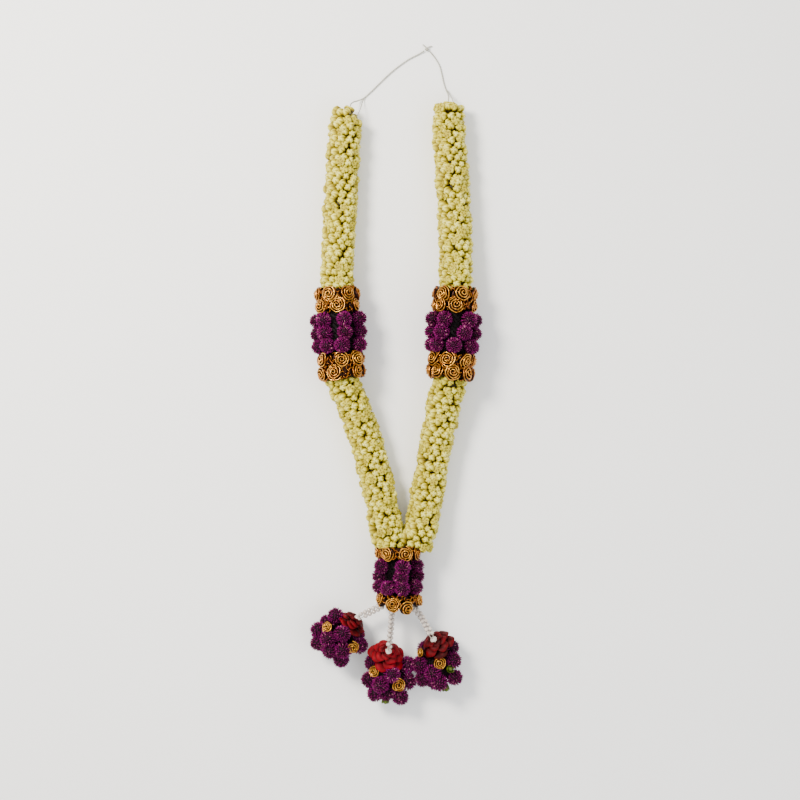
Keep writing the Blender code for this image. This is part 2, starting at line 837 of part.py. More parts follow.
def ball(name, place, radius, segments, rings, material=None):
    """Make one bead."""
    shape = bmesh.new()
    bmesh.ops.create_uvsphere(shape, u_segments=segments, v_segments=rings, radius=radius)
    mesh = bpy.data.meshes.new(name)
    shape.to_mesh(mesh)
    shape.free()
    return mesh_object(name, mesh, material, Matrix.Translation(place))


def strand_row(line, roll, sign):
    """Give the line of one row of a doubled strand, which closes on the other at its upper end."""
    row = []
    for distance in (line.length * step / 12 for step in range(13)):
        centre, _, side, up = line.frame(distance, 2.0 * MM)
        spread = min(1.0, max(0.0, distance - STRAND_SUNK) / PEARL_ROW_PARTING)
        offset = PEARL_THREAD_RADIUS + GAP / 2 + (PEARL_ROW_OFFSET - PEARL_THREAD_RADIUS) * spread
        row.append(centre + (side * math.cos(roll) + up * math.sin(roll)) * sign * offset)
    return Line(row)


def strand_clearances(line):
    """Make the cutters for a strand's way out of the pendant: a thread hole, then a wider mouth."""
    hole = (2.0 * PEARL_THREAD_RADIUS + 3.0 * GAP) / HEXAGON_FACE
    mouth = (PEARL_ROW_OFFSET + PEARL_RADIUS + 2.0 * GAP) / HEXAGON_FACE
    sunk = line.stretch(-5.0 * MM, STRAND_SUNK + 3.0 * MM, 7.0 * MM)
    open_part = line.stretch(STRAND_SUNK, line.length, 9.0 * MM)
    return [
        as_mesh(cord_curve("thread hole", sunk, hole, resolution=1)),
        as_mesh(cord_curve("strand mouth", open_part, mouth, resolution=1)),
    ]


def pearl_row(name, row, first_pearl, material):
    """String one row of pearls, as a thread that swells into each pearl along it."""
    stations = [(STRAND_SUNK * step / 3, PEARL_THREAD_RADIUS) for step in range(4)]
    middle = first_pearl
    while middle < row.length - 1.1 * PEARL_RADIUS:
        stations.append((middle - 0.92 * PEARL_RADIUS, PEARL_THREAD_RADIUS))
        stations.append((middle - 0.38 * PEARL_RADIUS, PEARL_RADIUS))
        stations.append((middle + 0.38 * PEARL_RADIUS, PEARL_RADIUS))
        middle += PEARL_PITCH
    stations.append((middle - PEARL_PITCH + 0.92 * PEARL_RADIUS, PEARL_THREAD_RADIUS))
    stations.append((row.length + 1.5 * MM, PEARL_THREAD_RADIUS))
    rings = []
    for distance, radius in stations:
        centre, _, side, up = row.frame(distance, 2.0 * MM)
        angles = [math.tau * step / PEARL_SIDES for step in range(PEARL_SIDES)]
        rings.append([centre + (side * math.cos(a) + up * math.sin(a)) * radius for a in angles])
    return mesh_object(name, mesh_from_rings(name, rings), material)


def strand_line(bunch):
    """Give the line that a strand hangs along, from inside the pendant to just inside its end bead."""
    _, direction, _ = bunch["rose"]
    arriving = bead_place(bunch) + Vector(direction).normalized() * END_BEAD_RADIUS * 0.7
    return Line([*(millimetres(point) for point in bunch["strand"]), arriving])


def make_strand(side_name, bunch, bead, material):
    """String the two rows of pearls that a bunch hangs by, each ending against the end bead."""
    line = strand_line(bunch)
    made = []
    for number, sign in ((1, 1.0), (2, -1.0)):
        row = strand_row(line, math.radians(bunch["strand_roll"]), sign)
        first_pearl = STRAND_FIRST_PEARL + (number - 1) * PEARL_PITCH / 2
        piece = pearl_row(f"pearl_row_{side_name}_{number}", row, first_pearl, material)
        combine(piece, "DIFFERENCE", [grown_hull(bead)])
        made.append(piece)
    return made


def bead_place(bunch):
    """Find where a strand's end bead sits, in the heart of the bunch's rose."""
    offset, direction, radius = bunch["rose"]
    centre = millimetres(bunch["centre"]) + millimetres(offset)
    return centre + Vector(direction).normalized() * (0.40 * radius * MM + END_BEAD_RADIUS * 0.5)


def bunch_heads(bunch):
    """Give the middles of a bunch's heads: the placed ones, then others that fill the bare patches."""
    heads = [millimetres(place) for place in bunch["heads"]]
    rose_offset, _, rose_radius = bunch["rose"]
    taken = [(millimetres(rose_offset), rose_radius * MM)]
    taken += [(millimetres(place), 13.0 * MM) for place, _, _ in bunch["rosettes"]]
    taken += [(millimetres(place), 12.0 * MM) for place, _, _ in bunch["greens"]]
    wide, long, high = (reach * MM for reach in bunch["reach"])
    for step in range(BUNCH_FILL_STEPS):
        height = 1.0 - 2.0 * (step + 0.5) / BUNCH_FILL_STEPS
        across = math.sqrt(1.0 - height * height)
        turn = step * GOLDEN_ANGLE
        place = Vector((wide * across * math.cos(turn), long * across * math.sin(turn), high * height))
        crowded = any((place - head).length < HEAD_SPACING for head in heads)
        covered = any((place - middle).length < radius for middle, radius in taken)
        if not crowded and not covered:
            heads.append(place)
    return heads


def bunch_core(name, bunch, heads):
    """Make the dark heart of a bunch, a hull drawn a little inside the middles of its heads."""
    shape = bmesh.new()
    for place in heads:
        shape.verts.new(place * BUNCH_CORE_SHARE)
    hull = bmesh.ops.convex_hull(shape, input=shape.verts[:])
    inside = [item for item in hull["geom_interior"] if isinstance(item, bmesh.types.BMVert)]
    bmesh.ops.delete(shape, geom=inside, context="VERTS")
    bmesh.ops.recalc_face_normals(shape, faces=shape.faces[:])
    mesh = bpy.data.meshes.new(name)
    shape.to_mesh(mesh)
    shape.free()
    return mesh_object(name, mesh, matrix=Matrix.Translation(millimetres(bunch["centre"])))


def make_bunch(side_name, bunch, meshes, materials, draw):
    """Make one bunch: a rose with its end bead, gold rosettes, greens and amaranth heads."""
    centre = millimetres(bunch["centre"])
    offset, direction, radius = bunch["rose"]
    rose_place = facing(centre + millimetres(offset), direction)
    rose = mesh_object(f"rose_{side_name}", rose_mesh(radius * MM), materials["rose"], rose_place)
    bead = ball(
        f"end_bead_{side_name}", bead_place(bunch), END_BEAD_RADIUS, 8, 6, materials["pearl"]
    )
    bpy.context.view_layer.update()
    made = [bead]
    rose_cutters = [grown_hull(bead)]
    if side_name == "right":
        grey_at = bead_place(bunch) + millimetres(GREY_BEAD_OFFSET)
        grey = ball("grey_bead_right", grey_at, GREY_BEAD_RADIUS, 6, 4, materials["grey"])
        bpy.context.view_layer.update()
        combine(grey, "DIFFERENCE", [grown_hull(bead)])
        rose_cutters.append(grown_hull(grey))
        made.append(grey)
    combine(rose, "DIFFERENCE", rose_cutters)
    made.append(rose)
    seated = [rose]
    for index, (place, direction, size) in enumerate(bunch["rosettes"]):
        matrix = facing(centre + millimetres(place), direction, size, draw.uniform(0.0, math.tau))
        name = f"gold_rosette_{side_name}_{index + 1}"
        rosette = mesh_object(name, meshes["rosettes"][0].copy(), materials["gold"], matrix)
        bpy.context.view_layer.update()
        combine(rosette, "DIFFERENCE", [grown_hull(piece) for piece in seated])
        seated.append(rosette)
    for index, (place, direction, size) in enumerate(bunch["greens"]):
        matrix = facing(centre + millimetres(place), direction, size)
        name = f"calyx_{side_name}_{index + 1}"
        green = mesh_object(name, meshes["green"].copy(), materials["green"], matrix)
        bpy.context.view_layer.update()
        combine(green, "DIFFERENCE", [grown_hull(piece) for piece in seated])
        seated.append(green)
    middles = bunch_heads(bunch)
    core = bunch_core(f"amaranth_{side_name}", bunch, middles)
    core.data.materials.append(materials["amaranth"])
    heads = []
    for middle in middles:
        mesh = meshes["heads"][0 if middle.normalized().z > PRESSED_BELOW else 1]
        size = draw.uniform(*BUNCH_HEAD_SIZES)
        turn = facing(centre + middle, middle, size, draw.uniform(0.0, math.tau))
        heads.append(mesh_object("head", mesh, matrix=turn))
    combine(core, "UNION", heads)
    cutters = [grown_hull(piece) for piece in seated]
    cutters.append(floor_block())
    if side_name == "middle":
        cutters.append(half_space((BUNCH_PARTING_X - GAP / 2, centre.y, 0.0), (1.0, 0.0, 0.0)))
    if side_name == "right":
        cutters.append(half_space((BUNCH_PARTING_X + GAP / 2, centre.y, 0.0), (-1.0, 0.0, 0.0)))
    combine(core, "DIFFERENCE", cutters)
    return [*made, *seated[1:], core]


def make_neck(materials):
    """Make the neck thread of each side and the knot that closes the neck loop."""
    made = []
    for name, route in NECK_ROUTES.items():
        line = Line([millimetres(point) for point in route])
        points = line.stretch(0.0, line.length, NECK_THREAD_STEP)
        made.append(cord_curve(name, points, NECK_THREAD_RADIUS, materials["thread"], 1))
    knot = ball("neck_knot", millimetres(NECK_KNOT_AT), NECK_KNOT_RADIUS, 8, 5, materials["thread"])
    made.append(knot)
    return made


def make_garland():
    """Build every piece and gather the pieces in the garland's collection."""
    materials = {name: make_material(name) for name in COLOURS}
    meshes = {
        "heads": (head_mesh(), head_mesh(pressed=True)),
        "rosettes": (rosette_mesh(), rosette_mesh(pressed=True)),
        "green": green_mesh(),
    }
    draw = random.Random(43)
    lines = {
        "left": Line([millimetres(point) for point in LEFT_LINE]),
        "right": Line([millimetres(point) for point in RIGHT_LINE]),
    }
    collar_length = COLLAR_UPPER_GOLD + COLLAR_AMARANTH + COLLAR_LOWER_GOLD
    pieces = []
    for seed, (side_name, line) in enumerate(lines.items()):
        collar_start = line.distance_at_y(COLLAR_TOP_Y)
        collar_end = collar_start + collar_length
        rope_end = line.distance_at_y(PENDANT_TOP_Y) + 2.0 * MM
        upper = bud_rope(
            f"jasmine_rope_upper_{side_name}",
            line,
            1.0 * MM,
            collar_start - GAP / 2,
            10 + seed,
            materials["jasmine"],
            True,
        )
        combine(upper, "DIFFERENCE", [core_bore(line, -5.0 * MM, collar_start + 9.0 * MM), floor_block()])
        lower = bud_rope(
            f"jasmine_rope_lower_{side_name}",
            line,
            collar_end + GAP / 2,
            rope_end,
            20 + seed,
            materials["jasmine"],
            False,
        )
        sign = 1.0 if side_name == "left" else -1.0
        meeting = Vector((ROPE_MEETING_X - sign * GAP / 2, PENDANT_TOP_Y, PENDANT_Z))
        combine(
            lower,
            "DIFFERENCE",
            [
                core_bore(line, collar_end - 9.0 * MM, rope_end + 9.0 * MM),
                floor_block(),
                half_space(meeting, (sign, 0.0, 0.0)),
                half_space((0.0, PENDANT_TOP_Y + GAP / 2, PENDANT_Z), (0.0, -1.0, 0.0)),
            ],
        )
        pieces += [upper, lower]
        cord_name = f"core_cord_{side_name}"
        points = [line.at(station) for station in core_stations(line)]
        pieces.append(cord_curve(cord_name, points, CORE_CORD_RADIUS, materials["cord"], 1))
        pieces += make_collar(side_name, line, collar_start, meshes, materials, draw)
    strand_bores = []
    for side_name, bunch in BUNCHES.items():
        bead, *others = make_bunch(side_name, bunch, meshes, materials, draw)
        pieces += [bead, *others, *make_strand(side_name, bunch, bead, materials["pearl"])]
        strand_bores += strand_clearances(strand_line(bunch))
    pieces += make_pendant(lines.values(), meshes, materials, draw, strand_bores)
    pieces += make_neck(materials)
    return pieces


def main():
    """Clear the scene and model the garland."""
    for piece in list(bpy.data.objects):
        bpy.data.objects.remove(piece, do_unlink=True)
    garland = bpy.data.collections.new("jasmine_garland")
    bpy.context.scene.collection.children.link(garland)
    for piece in make_garland():
        bpy.context.scene.collection.objects.unlink(piece)
        garland.objects.link(piece)


main()
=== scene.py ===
"""The finished look of a jasmine garland laid flat: four bud ropes, two collars, a pendant and
three bunches that hang from it by doubled strands of pearls.

Metres, +Z up. The garland lies on z = 0 with its neck end towards +Y.
"""

from __future__ import annotations

import logging
import math
from collections.abc import Iterator
from dataclasses import dataclass, field, replace
from enum import Enum

import bpy
import numpy as np
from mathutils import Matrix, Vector

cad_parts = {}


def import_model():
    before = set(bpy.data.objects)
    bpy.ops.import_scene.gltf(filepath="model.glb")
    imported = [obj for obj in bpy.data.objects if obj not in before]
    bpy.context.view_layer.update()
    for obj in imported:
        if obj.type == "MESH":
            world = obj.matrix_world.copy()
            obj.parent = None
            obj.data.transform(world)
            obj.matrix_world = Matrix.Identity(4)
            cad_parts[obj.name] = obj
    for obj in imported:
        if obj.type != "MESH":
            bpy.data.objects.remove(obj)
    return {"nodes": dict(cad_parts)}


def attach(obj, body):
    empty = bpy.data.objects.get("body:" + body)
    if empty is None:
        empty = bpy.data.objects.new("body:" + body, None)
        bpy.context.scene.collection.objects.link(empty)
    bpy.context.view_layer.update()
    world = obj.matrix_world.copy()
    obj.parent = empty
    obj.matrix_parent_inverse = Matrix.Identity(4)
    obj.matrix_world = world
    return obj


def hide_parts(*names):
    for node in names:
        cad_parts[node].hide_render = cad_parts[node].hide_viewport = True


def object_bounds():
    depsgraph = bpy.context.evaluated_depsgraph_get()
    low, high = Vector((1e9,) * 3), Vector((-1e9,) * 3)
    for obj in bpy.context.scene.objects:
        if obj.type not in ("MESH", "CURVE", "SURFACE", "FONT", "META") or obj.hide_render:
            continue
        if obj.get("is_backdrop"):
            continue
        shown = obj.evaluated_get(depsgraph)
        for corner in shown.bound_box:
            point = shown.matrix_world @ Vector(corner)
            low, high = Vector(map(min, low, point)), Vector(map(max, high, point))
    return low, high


LOG = logging.getLogger("garland")
MM = 0.001
GOLDEN_ANGLE = math.pi * (3.0 - math.sqrt(5.0))
FLOOR_CLEARANCE = 0.15 * MM
THREAD_REACH = 2.0 * MM  # how far to each side a thread's direction is read over

Array = np.ndarray
Numbers = Array | float
Triple = tuple[float, float, float]
Bud = tuple[Array, Array, float]
FlowerRow = tuple[float, tuple[int, ...]]
Placed = tuple[Triple, Triple, float]


class Side(Enum):
    """The three places that a piece of the garland can hang in."""

    LEFT = "left"
    MIDDLE = "middle"
    RIGHT = "right"


class Flower(Enum):
    """What a band of the garland is sewn with."""

    ROSETTE = "rosettes"
    AMARANTH = "amaranth"


# Finishes


def linear(colour: str) -> tuple[float, float, float, float]:
    """Turn an sRGB hex colour into the linear colour that a shader takes.

    Args:
        colour: six hex digits after a hash sign.

    Returns:
        Linear red, green and blue, and an alpha of one.
    """
    parts = [int(colour[index : index + 2], 16) / 255.0 for index in (1, 3, 5)]
    red, green, blue = (
        part / 12.92 if part <= 0.04045 else ((part + 0.055) / 1.055) ** 2.4 for part in parts
    )
    return red, green, blue, 1.0


def add_node(
    tree: bpy.types.NodeTree,
    kind: str,
    settings: dict | None = None,
    links: dict | None = None,
) -> bpy.types.Node:
    """Add one node with its settings and the links that come into it.

    Args:
        tree: the material's node tree.
        kind: the node's type, without its ShaderNode prefix.
        settings: values by property or input name. "stops" fills a colour ramp.
        links: output sockets by the input that they go into.

    Returns:
        The new node.
    """
    node = tree.nodes.new("ShaderNode" + kind)
    for key, value in (settings or {}).items():
        if key == "stops":
            ramp = node.color_ramp
            while len(ramp.elements) < len(value):
                ramp.elements.new(0.5)
            for element, (place, colour) in zip(ramp.elements, value):
                element.position = place
                element.color = linear(colour)
        elif hasattr(node, key):
            setattr(node, key, value)
        else:
            node.inputs[key].default_value = value
    for key, socket in (links or {}).items():
        tree.links.new(socket, node.inputs[key])
    return node


@dataclass(frozen=True)
class Finish:
    """A material for parts that carry a tip value along them and a tone value from part to part."""

    name: str
    stops: tuple[tuple[float, str], ...]
    shade: str
    shade_depth: float
    roughness: float
    grain_mm: float
    grain_height_mm: float
    patch_mm: float = 6.0
    patch_depth: float = 0.25
    metallic: float = 0.0
    sheen: float = 0.0
    sheen_roughness: float = 0.5
    sheen_tint: str = "#FFFFFF"
    coat: float = 0.0
    coat_roughness: float = 0.1
    subsurface: float = 0.0
    subsurface_mm: Triple = (2.0, 1.2, 0.6)
    ior: float = 1.5
    shine: float = 0.5
    stretch: Triple = (1.0, 1.0, 1.0)
    wear_range: float = 0.08
    smoothest: float = 0.04

    def build(self) -> bpy.types.Material:
        """Make the material from its own numbers.

        Returns:
            A node material, ready to be put on a piece.
        """
        material = bpy.data.materials.new(self.name)
        material.use_nodes = True
        tree = material.node_tree
        shader = tree.nodes["Principled BSDF"]
        place = add_node(tree, "TexCoord").outputs["Object"]
        spread = add_node(tree, "Mapping", {"Scale": self.stretch}, {"Vector": place})
        tip = add_node(tree, "Attribute", {"attribute_name": "tip"}).outputs["Fac"]
        tone = add_node(tree, "Attribute", {"attribute_name": "tone"}).outputs["Fac"]
        # The ramp over the tip value is partly each part's own colour and mostly painted light:
        # painted shade at the feet of parts, in creases and in hearts, and painted highlights on
        # points, lips and rims.
        along = add_node(tree, "ValToRGB", {"stops": self.stops}, {"Fac": tip})
        patches = add_node(
            tree,
            "TexNoise",
            {"Scale": 1.0 / (self.patch_mm * MM), "Detail": 2.0, "Roughness": 0.55},
            {"Vector": spread.outputs["Vector"]},
        )
        grain = add_node(
            tree,
            "TexNoise",
            {"Scale": 1.0 / (self.grain_mm * MM), "Detail": 3.0},
            {"Vector": spread.outputs["Vector"]},
        )
        patch_share = add_node(
            tree,
            "MapRange",
            {"From Min": 0.35, "From Max": 0.7, "To Min": 0.0, "To Max": self.patch_depth},
            {"Value": patches.outputs["Fac"]},
        )
        # Tone darkens whole parts towards the shade colour: at random from part to part, and for
        # whole roses as painted shade.
        tone_share = add_node(
            tree,
            "MapRange",
            {"From Min": -1.0, "From Max": 1.0, "To Min": self.shade_depth, "To Max": 0.0},
            {"Value": tone},
        )
        share = add_node(
            tree,
            "Math",
            {"operation": "ADD", "use_clamp": True},
            {0: patch_share.outputs["Result"], 1: tone_share.outputs["Result"]},
        )
        colour = add_node(
            tree,
            "MixRGB",
            {"blend_type": "MULTIPLY", "Color2": linear(self.shade)},
            {"Fac": share.outputs["Value"], "Color1": along.outputs["Color"]},
        )
        bump = add_node(
            tree,
            "Bump",
            {"Strength": 0.6, "Distance": self.grain_height_mm * MM},
            {"Height": grain.outputs["Fac"]},
        )
        smooth = max(self.smoothest, self.roughness - self.wear_range)
        rough = min(1.0, self.roughness + self.wear_range)
        wear = add_node(
            tree,
            "MapRange",
            {"From Min": 0.3, "From Max": 0.7, "To Min": smooth, "To Max": rough},
            {"Value": grain.outputs["Fac"]},
        )
        tree.links.new(colour.outputs["Color"], shader.inputs["Base Color"])
        tree.links.new(wear.outputs["Result"], shader.inputs["Roughness"])
        tree.links.new(bump.outputs["Normal"], shader.inputs["Normal"])
        plain = {
            "Metallic": self.metallic,
            "Specular IOR Level": self.shine,
            "IOR": self.ior,
            "Sheen Weight": self.sheen,
            "Sheen Roughness": self.sheen_roughness,
            "Sheen Tint": linear(self.sheen_tint),
            "Coat Weight": self.coat,
            "Coat Roughness": self.coat_roughness,
            "Subsurface Weight": self.subsurface,
            "Subsurface Radius": self.subsurface_mm,
            "Subsurface Scale": MM,
        }
        for socket, value in plain.items():
            shader.inputs[socket].default_value = value
        return material


# Fresh jasmine petal, grown and picked unopened: waxy, pale cream at the tip and greener at the
# stalk, darkened to near black at the stalk and in the creases as painted shade between the buds,
# with a soft glow where light goes through the thin edges.
JASMINE_PETAL = Finish(
    name="fresh_jasmine_petal",
    stops=(
        (0.0, "#141100"),
        (0.28, "#453A02"),
        (0.55, "#928012"),
        (0.8, "#CCC23A"),
        (1.0, "#EEEB8C"),
    ),
    shade="#BDB040",
    shade_depth=0.4,
    roughness=0.55,
    grain_mm=1.2,
    grain_height_mm=0.10,
    patch_mm=9.0,
    patch_depth=0.4,
    subsurface=0.08,
    subsurface_mm=(1.4, 1.4, 0.5),
    ior=1.40,
    shine=0.3,
)

# Dried bracts of globe amaranth: papery and matt, magenta with dusty pink at the point, and pale
# pink florets that also serve as painted highlight specks; dark wine to near black towards the
# foot and in the hearts as painted shade.
AMARANTH_BRACT = Finish(
    name="papery_amaranth_bract",
    stops=(
        (0.0, "#030001"),
        (0.35, "#18000D"),
        (0.7, "#5C003E"),
        (0.88, "#A8008A"),
        (1.0, "#E4A8AC"),
    ),
    shade="#7A2050",
    shade_depth=0.5,
    roughness=0.60,
    grain_mm=0.7,
    grain_height_mm=0.05,
    patch_mm=8.0,
    patch_depth=0.45,
    ior=1.45,
    shine=0.12,
)

# Metallised ribbon, woven and then rolled, brassy gold: a painted highlight on the folded edge,
# painted shade (brown) in the folds, and dark brown patches painted as broken reflections.
ROLLED_ZARI = Finish(
    name="rolled_zari_ribbon",
    stops=((0.0, "#180700"), (0.35, "#481E02"), (0.72, "#9E5C0E"), (1.0, "#FFBE4A")),
    shade="#7A3C0C",
    shade_depth=0.3,
    roughness=0.27,
    grain_mm=0.9,
    grain_height_mm=0.22,
    patch_mm=2.6,
    patch_depth=0.8,
    metallic=0.8,
)

# Rose petals, fresh and velvety, deep crimson: a painted highlight on the rims, and painted shade
# nearly black red in the folds and at the feet of the petals.
ROSE_PETAL = Finish(
    name="velvety_rose_petal",
    stops=((0.0, "#0A0001"), (0.4, "#2E0003"), (0.75, "#60000C"), (1.0, "#900216")),
    shade="#60080E",
    # The deep shade_depth lets whole roses be darkened as painted shade.
    shade_depth=0.75,
    roughness=0.60,
    grain_mm=1.0,
    grain_height_mm=0.08,
    patch_mm=7.0,
    patch_depth=0.4,
    sheen=0.08,
    sheen_roughness=0.4,
    sheen_tint="#E02038",
    ior=1.42,
    shine=0.12,
)

# Moulded and lacquered imitation pearl: milky greyish white under a hard clear coat.
LACQUERED_PEARL = Finish(
    name="lacquered_imitation_pearl",
    stops=((0.0, "#6E6258"), (0.5, "#A4988D"), (1.0, "#C6BCB2")),
    shade="#B4A69C",
    shade_depth=0.35,
    roughness=0.26,
    grain_mm=2.5,
    grain_height_mm=0.02,
    patch_mm=4.0,
    patch_depth=0.2,
    coat=0.8,
    coat_roughness=0.08,
    subsurface=0.2,
    subsurface_mm=(1.6, 1.4, 1.2),
    ior=1.53,
)

# Moulded grey bead with a smoky lacquer, darker than the pearls beside it.
SMOKY_BEAD = Finish(
    name="smoky_lacquered_bead",
    stops=((0.0, "#4A4442"), (0.5, "#7C7472"), (1.0, "#A09895")),
    shade="#6A6260",
    shade_depth=0.3,
    roughness=0.22,
    grain_mm=2.0,
    grain_height_mm=0.02,
    coat=0.7,
    coat_roughness=0.08,
    ior=1.53,
)

# Sepals and buds, grown: matt green, paler at the points.
GREEN_SEPAL = Finish(
    name="fresh_green_sepal",
    stops=((0.0, "#101800"), (0.5, "#2C3C06"), (1.0, "#566814")),
    shade="#3C4A12",
    shade_depth=0.3,
    roughness=0.52,
    grain_mm=0.9,
    grain_height_mm=0.06,
    ior=1.42,
    shine=0.25,
)

# Cotton thread, spun and plied: matt white with a faint fuzz between the plies.
COTTON_THREAD = Finish(
    name="plied_cotton_thread",
    stops=((0.0, "#5E5C50"), (0.6, "#9C9A8C"), (1.0, "#C4C2B6")),
    shade="#A8A698",
    shade_depth=0.3,
    roughness=0.85,
    grain_mm=0.5,
    grain_height_mm=0.08,
    sheen=0.25,
)

# Banana fibre cord, twisted: the tan cord inside the garland, with coarse strands along it.
TWISTED_FIBRE = Finish(
    name="twisted_fibre_cord",
    stops=((0.0, "#7C6A40"), (1.0, "#B7A678")),
    shade="#6B5730",
    shade_depth=0.5,
    roughness=0.88,
    grain_mm=1.1,
    grain_height_mm=0.35,
    patch_mm=5.0,
    patch_depth=0.4,
    stretch=(1.0, 0.35, 1.0),
)

# Painted studio board under the garland: matt and near white, with the roller's faint tooth.
STUDIO_BOARD = Finish(
    name="matt_white_studio_board",
    stops=((0.0, "#FAFAF8"), (1.0, "#FCFCFA")),
    shade="#F4F4F2",
    shade_depth=0.1,
    roughness=0.9,
    grain_mm=3.0,
    grain_height_mm=0.02,
    patch_mm=160.0,
    patch_depth=0.1,
    ior=1.45,
)

FINISHES: tuple[Finish, ...] = (
    JASMINE_PETAL,
    AMARANTH_BRACT,
    ROLLED_ZARI,
    ROSE_PETAL,
    LACQUERED_PEARL,
    SMOKY_BEAD,
    GREEN_SEPAL,
    COTTON_THREAD,
    TWISTED_FIBRE,
    STUDIO_BOARD,
)


# Lines and small parts


def unit(vectors: Array) -> Array:
    """Scale each vector of an array to a length of one."""
    return vectors / np.linalg.norm(vectors, axis=-1, keepdims=True)


def metres(points: object) -> Array:
    """Turn points written in millimetres into an array in metres."""
    return np.array(points, float) * MM


def turns_of(count: int) -> Array:
    """Give the angles of some points spread evenly over one turn."""
    return np.arange(count) / count * math.tau


def spun(reach: Numbers, angle: Numbers, level: Numbers) -> Array:
    """Place points about the Z axis from their reach, their angle and their level."""
    return np.stack(
        np.broadcast_arrays(reach * np.cos(angle), reach * np.sin(angle), level), axis=-1
    )


def globe(rows: int, columns: int, margin: float) -> Array:
    """Give rings of points over a ball of radius one, from its foot to its top.

    Args:
        rows: how many rings there are.
        columns: how many points each ring has.
        margin: the angle that is left open at each pole.

    Returns:
        The rings of points.
    """
    tilt = np.linspace(margin, math.pi - margin, rows)[:, None]
    return spun(np.sin(tilt), turns_of(columns)[None], -np.cos(tilt))


def golden_ball(count: int) -> Array:
    """Give unit directions spread evenly over a ball, from its top down."""
    height = 1.0 - 2.0 * (np.arange(count) + 0.5) / count
    return spun(np.sqrt(1.0 - height * height), np.arange(count) * GOLDEN_ANGLE, height)


@dataclass
class Line:
    """A smooth curve through points, read by the distance from its first one."""

    corners: Array
    step: float = 2.0 * MM
    carried_on: float = 40.0 * MM
    points: Array = field(init=False)
    distances: Array = field(init=False)
    length: float = field(init=False)

    def __post_init__(self) -> None:
        """Sample the curve and carry it straight on past both ends."""
        samples = []
        last = len(self.corners) - 1
        for index in range(last):
            before = self.corners[max(index - 1, 0)]
            start, end = self.corners[index], self.corners[index + 1]
            after = self.corners[min(index + 2, last)]
            pieces = max(2, round(float(np.linalg.norm(end - start)) / self.step))
            t = (np.arange(pieces) / pieces)[:, None]
            samples.append(
                0.5
                * (
                    2.0 * start
                    + (end - before) * t
                    + (2.0 * before - 5.0 * start + 4.0 * end - after) * t * t
                    + (3.0 * start - before - 3.0 * end + after) * t**3
                )
            )
        inner = np.concatenate([*samples, self.corners[-1:]])
        along = np.concatenate([[0.0], np.cumsum(np.linalg.norm(np.diff(inner, axis=0), axis=1))])
        self.length = float(along[-1])
        first = inner[0] - unit(inner[1] - inner[0]) * self.carried_on
        final = inner[-1] + unit(inner[-1] - inner[-2]) * self.carried_on
        self.points = np.concatenate([first[None], inner, final[None]])
        self.distances = np.concatenate(
            [[-self.carried_on], along, [self.length + self.carried_on]]
        )

    def at(self, distances: Numbers) -> Array:
        """Give the points at some distances along the line."""
        return np.stack(
            [np.interp(distances, self.distances, self.points[:, axis]) for axis in range(3)],
            axis=-1,
        )

    def frames(
        self, distances: Numbers, reach: float = 4.0 * MM
    ) -> tuple[Array, Array, Array, Array]:
        """Give the places and directions at some distances along the line.

        Args:
            distances: distances from the line's first point.
            reach: how far to each side the direction is read over.

        Returns:
            The points, the directions along the line, sideways and upwards.
        """
        distances = np.asarray(distances, float)
        along = unit(self.at(distances + reach) - self.at(distances - reach))
        side = unit(np.cross(along, np.array([0.0, 0.0, 1.0])))
        return self.at(distances), along, side, np.cross(side, along)

    def spokes(self, distances: Numbers, angles: Numbers) -> tuple[Array, Array, Array]:
        """Give spokes that stand out of the line.

        Args:
            distances: how far along the line each spoke is.
            angles: each spoke's angle in radians, from the line's side upwards.

        Returns:
            The points on the line, the directions along it and the spokes.
        """
        points, along, side, up = self.frames(distances)
        angles = np.asarray(angles)[..., None]
        return points, along, side * np.cos(angles) + up * np.sin(angles)

    def distance_at_y(self, y: float) -> float:
        """Find how far along the line its Y first falls to a value."""
        inside = (self.distances >= 0.0) & (self.points[:, 1] <= y)
        return float(self.distances[int(np.argmax(inside))])


@dataclass(frozen=True)
class Part:
    """One small part: its points, its triangles, and its tip and tone at each point."""

    points: Array
    faces: Array
    tips: Array
    tones: Array

    def toned(self, tone: float) -> Part:
        """Give the same part with one tone all over."""
        return replace(self, tones=np.full(len(self.points), tone))

    @classmethod
    def joined(cls, parts: list[Part]) -> Part:
        """Join several parts into one.

        Args:
            parts: the parts, in any order.

        Returns:
            One part with all their points and triangles.
        """
        starts = np.cumsum([0, *(len(part.points) for part in parts)])
        return cls(
            np.concatenate([part.points for part in parts]),
            np.concatenate([part.faces + start for part, start in zip(parts, starts)]),
            np.concatenate([part.tips for part in parts]),
            np.concatenate([part.tones for part in parts]),
        )


def woven_faces(rows: int, columns: int, closed: bool) -> Array:
    """Give the triangles that skin a net of points.

    Args:
        rows: rows of points.
        columns: points in each row.
        closed: whether each row runs round in a ring.

    Returns:
        Triangles as point numbers, counted row by row.
    """
    row, column = np.meshgrid(
        np.arange(rows - 1), np.arange(columns if closed else columns - 1), indexing="ij"
    )
    after = (column + 1) % columns
    low, low_after = row * columns + column, row * columns + after
    high, high_after = low + columns, low_after + columns
    first = np.stack([low, low_after, high_after], axis=-1).reshape(-1, 3)
    second = np.stack([low, high_after, high], axis=-1).reshape(-1, 3)
    return np.concatenate([first, second])


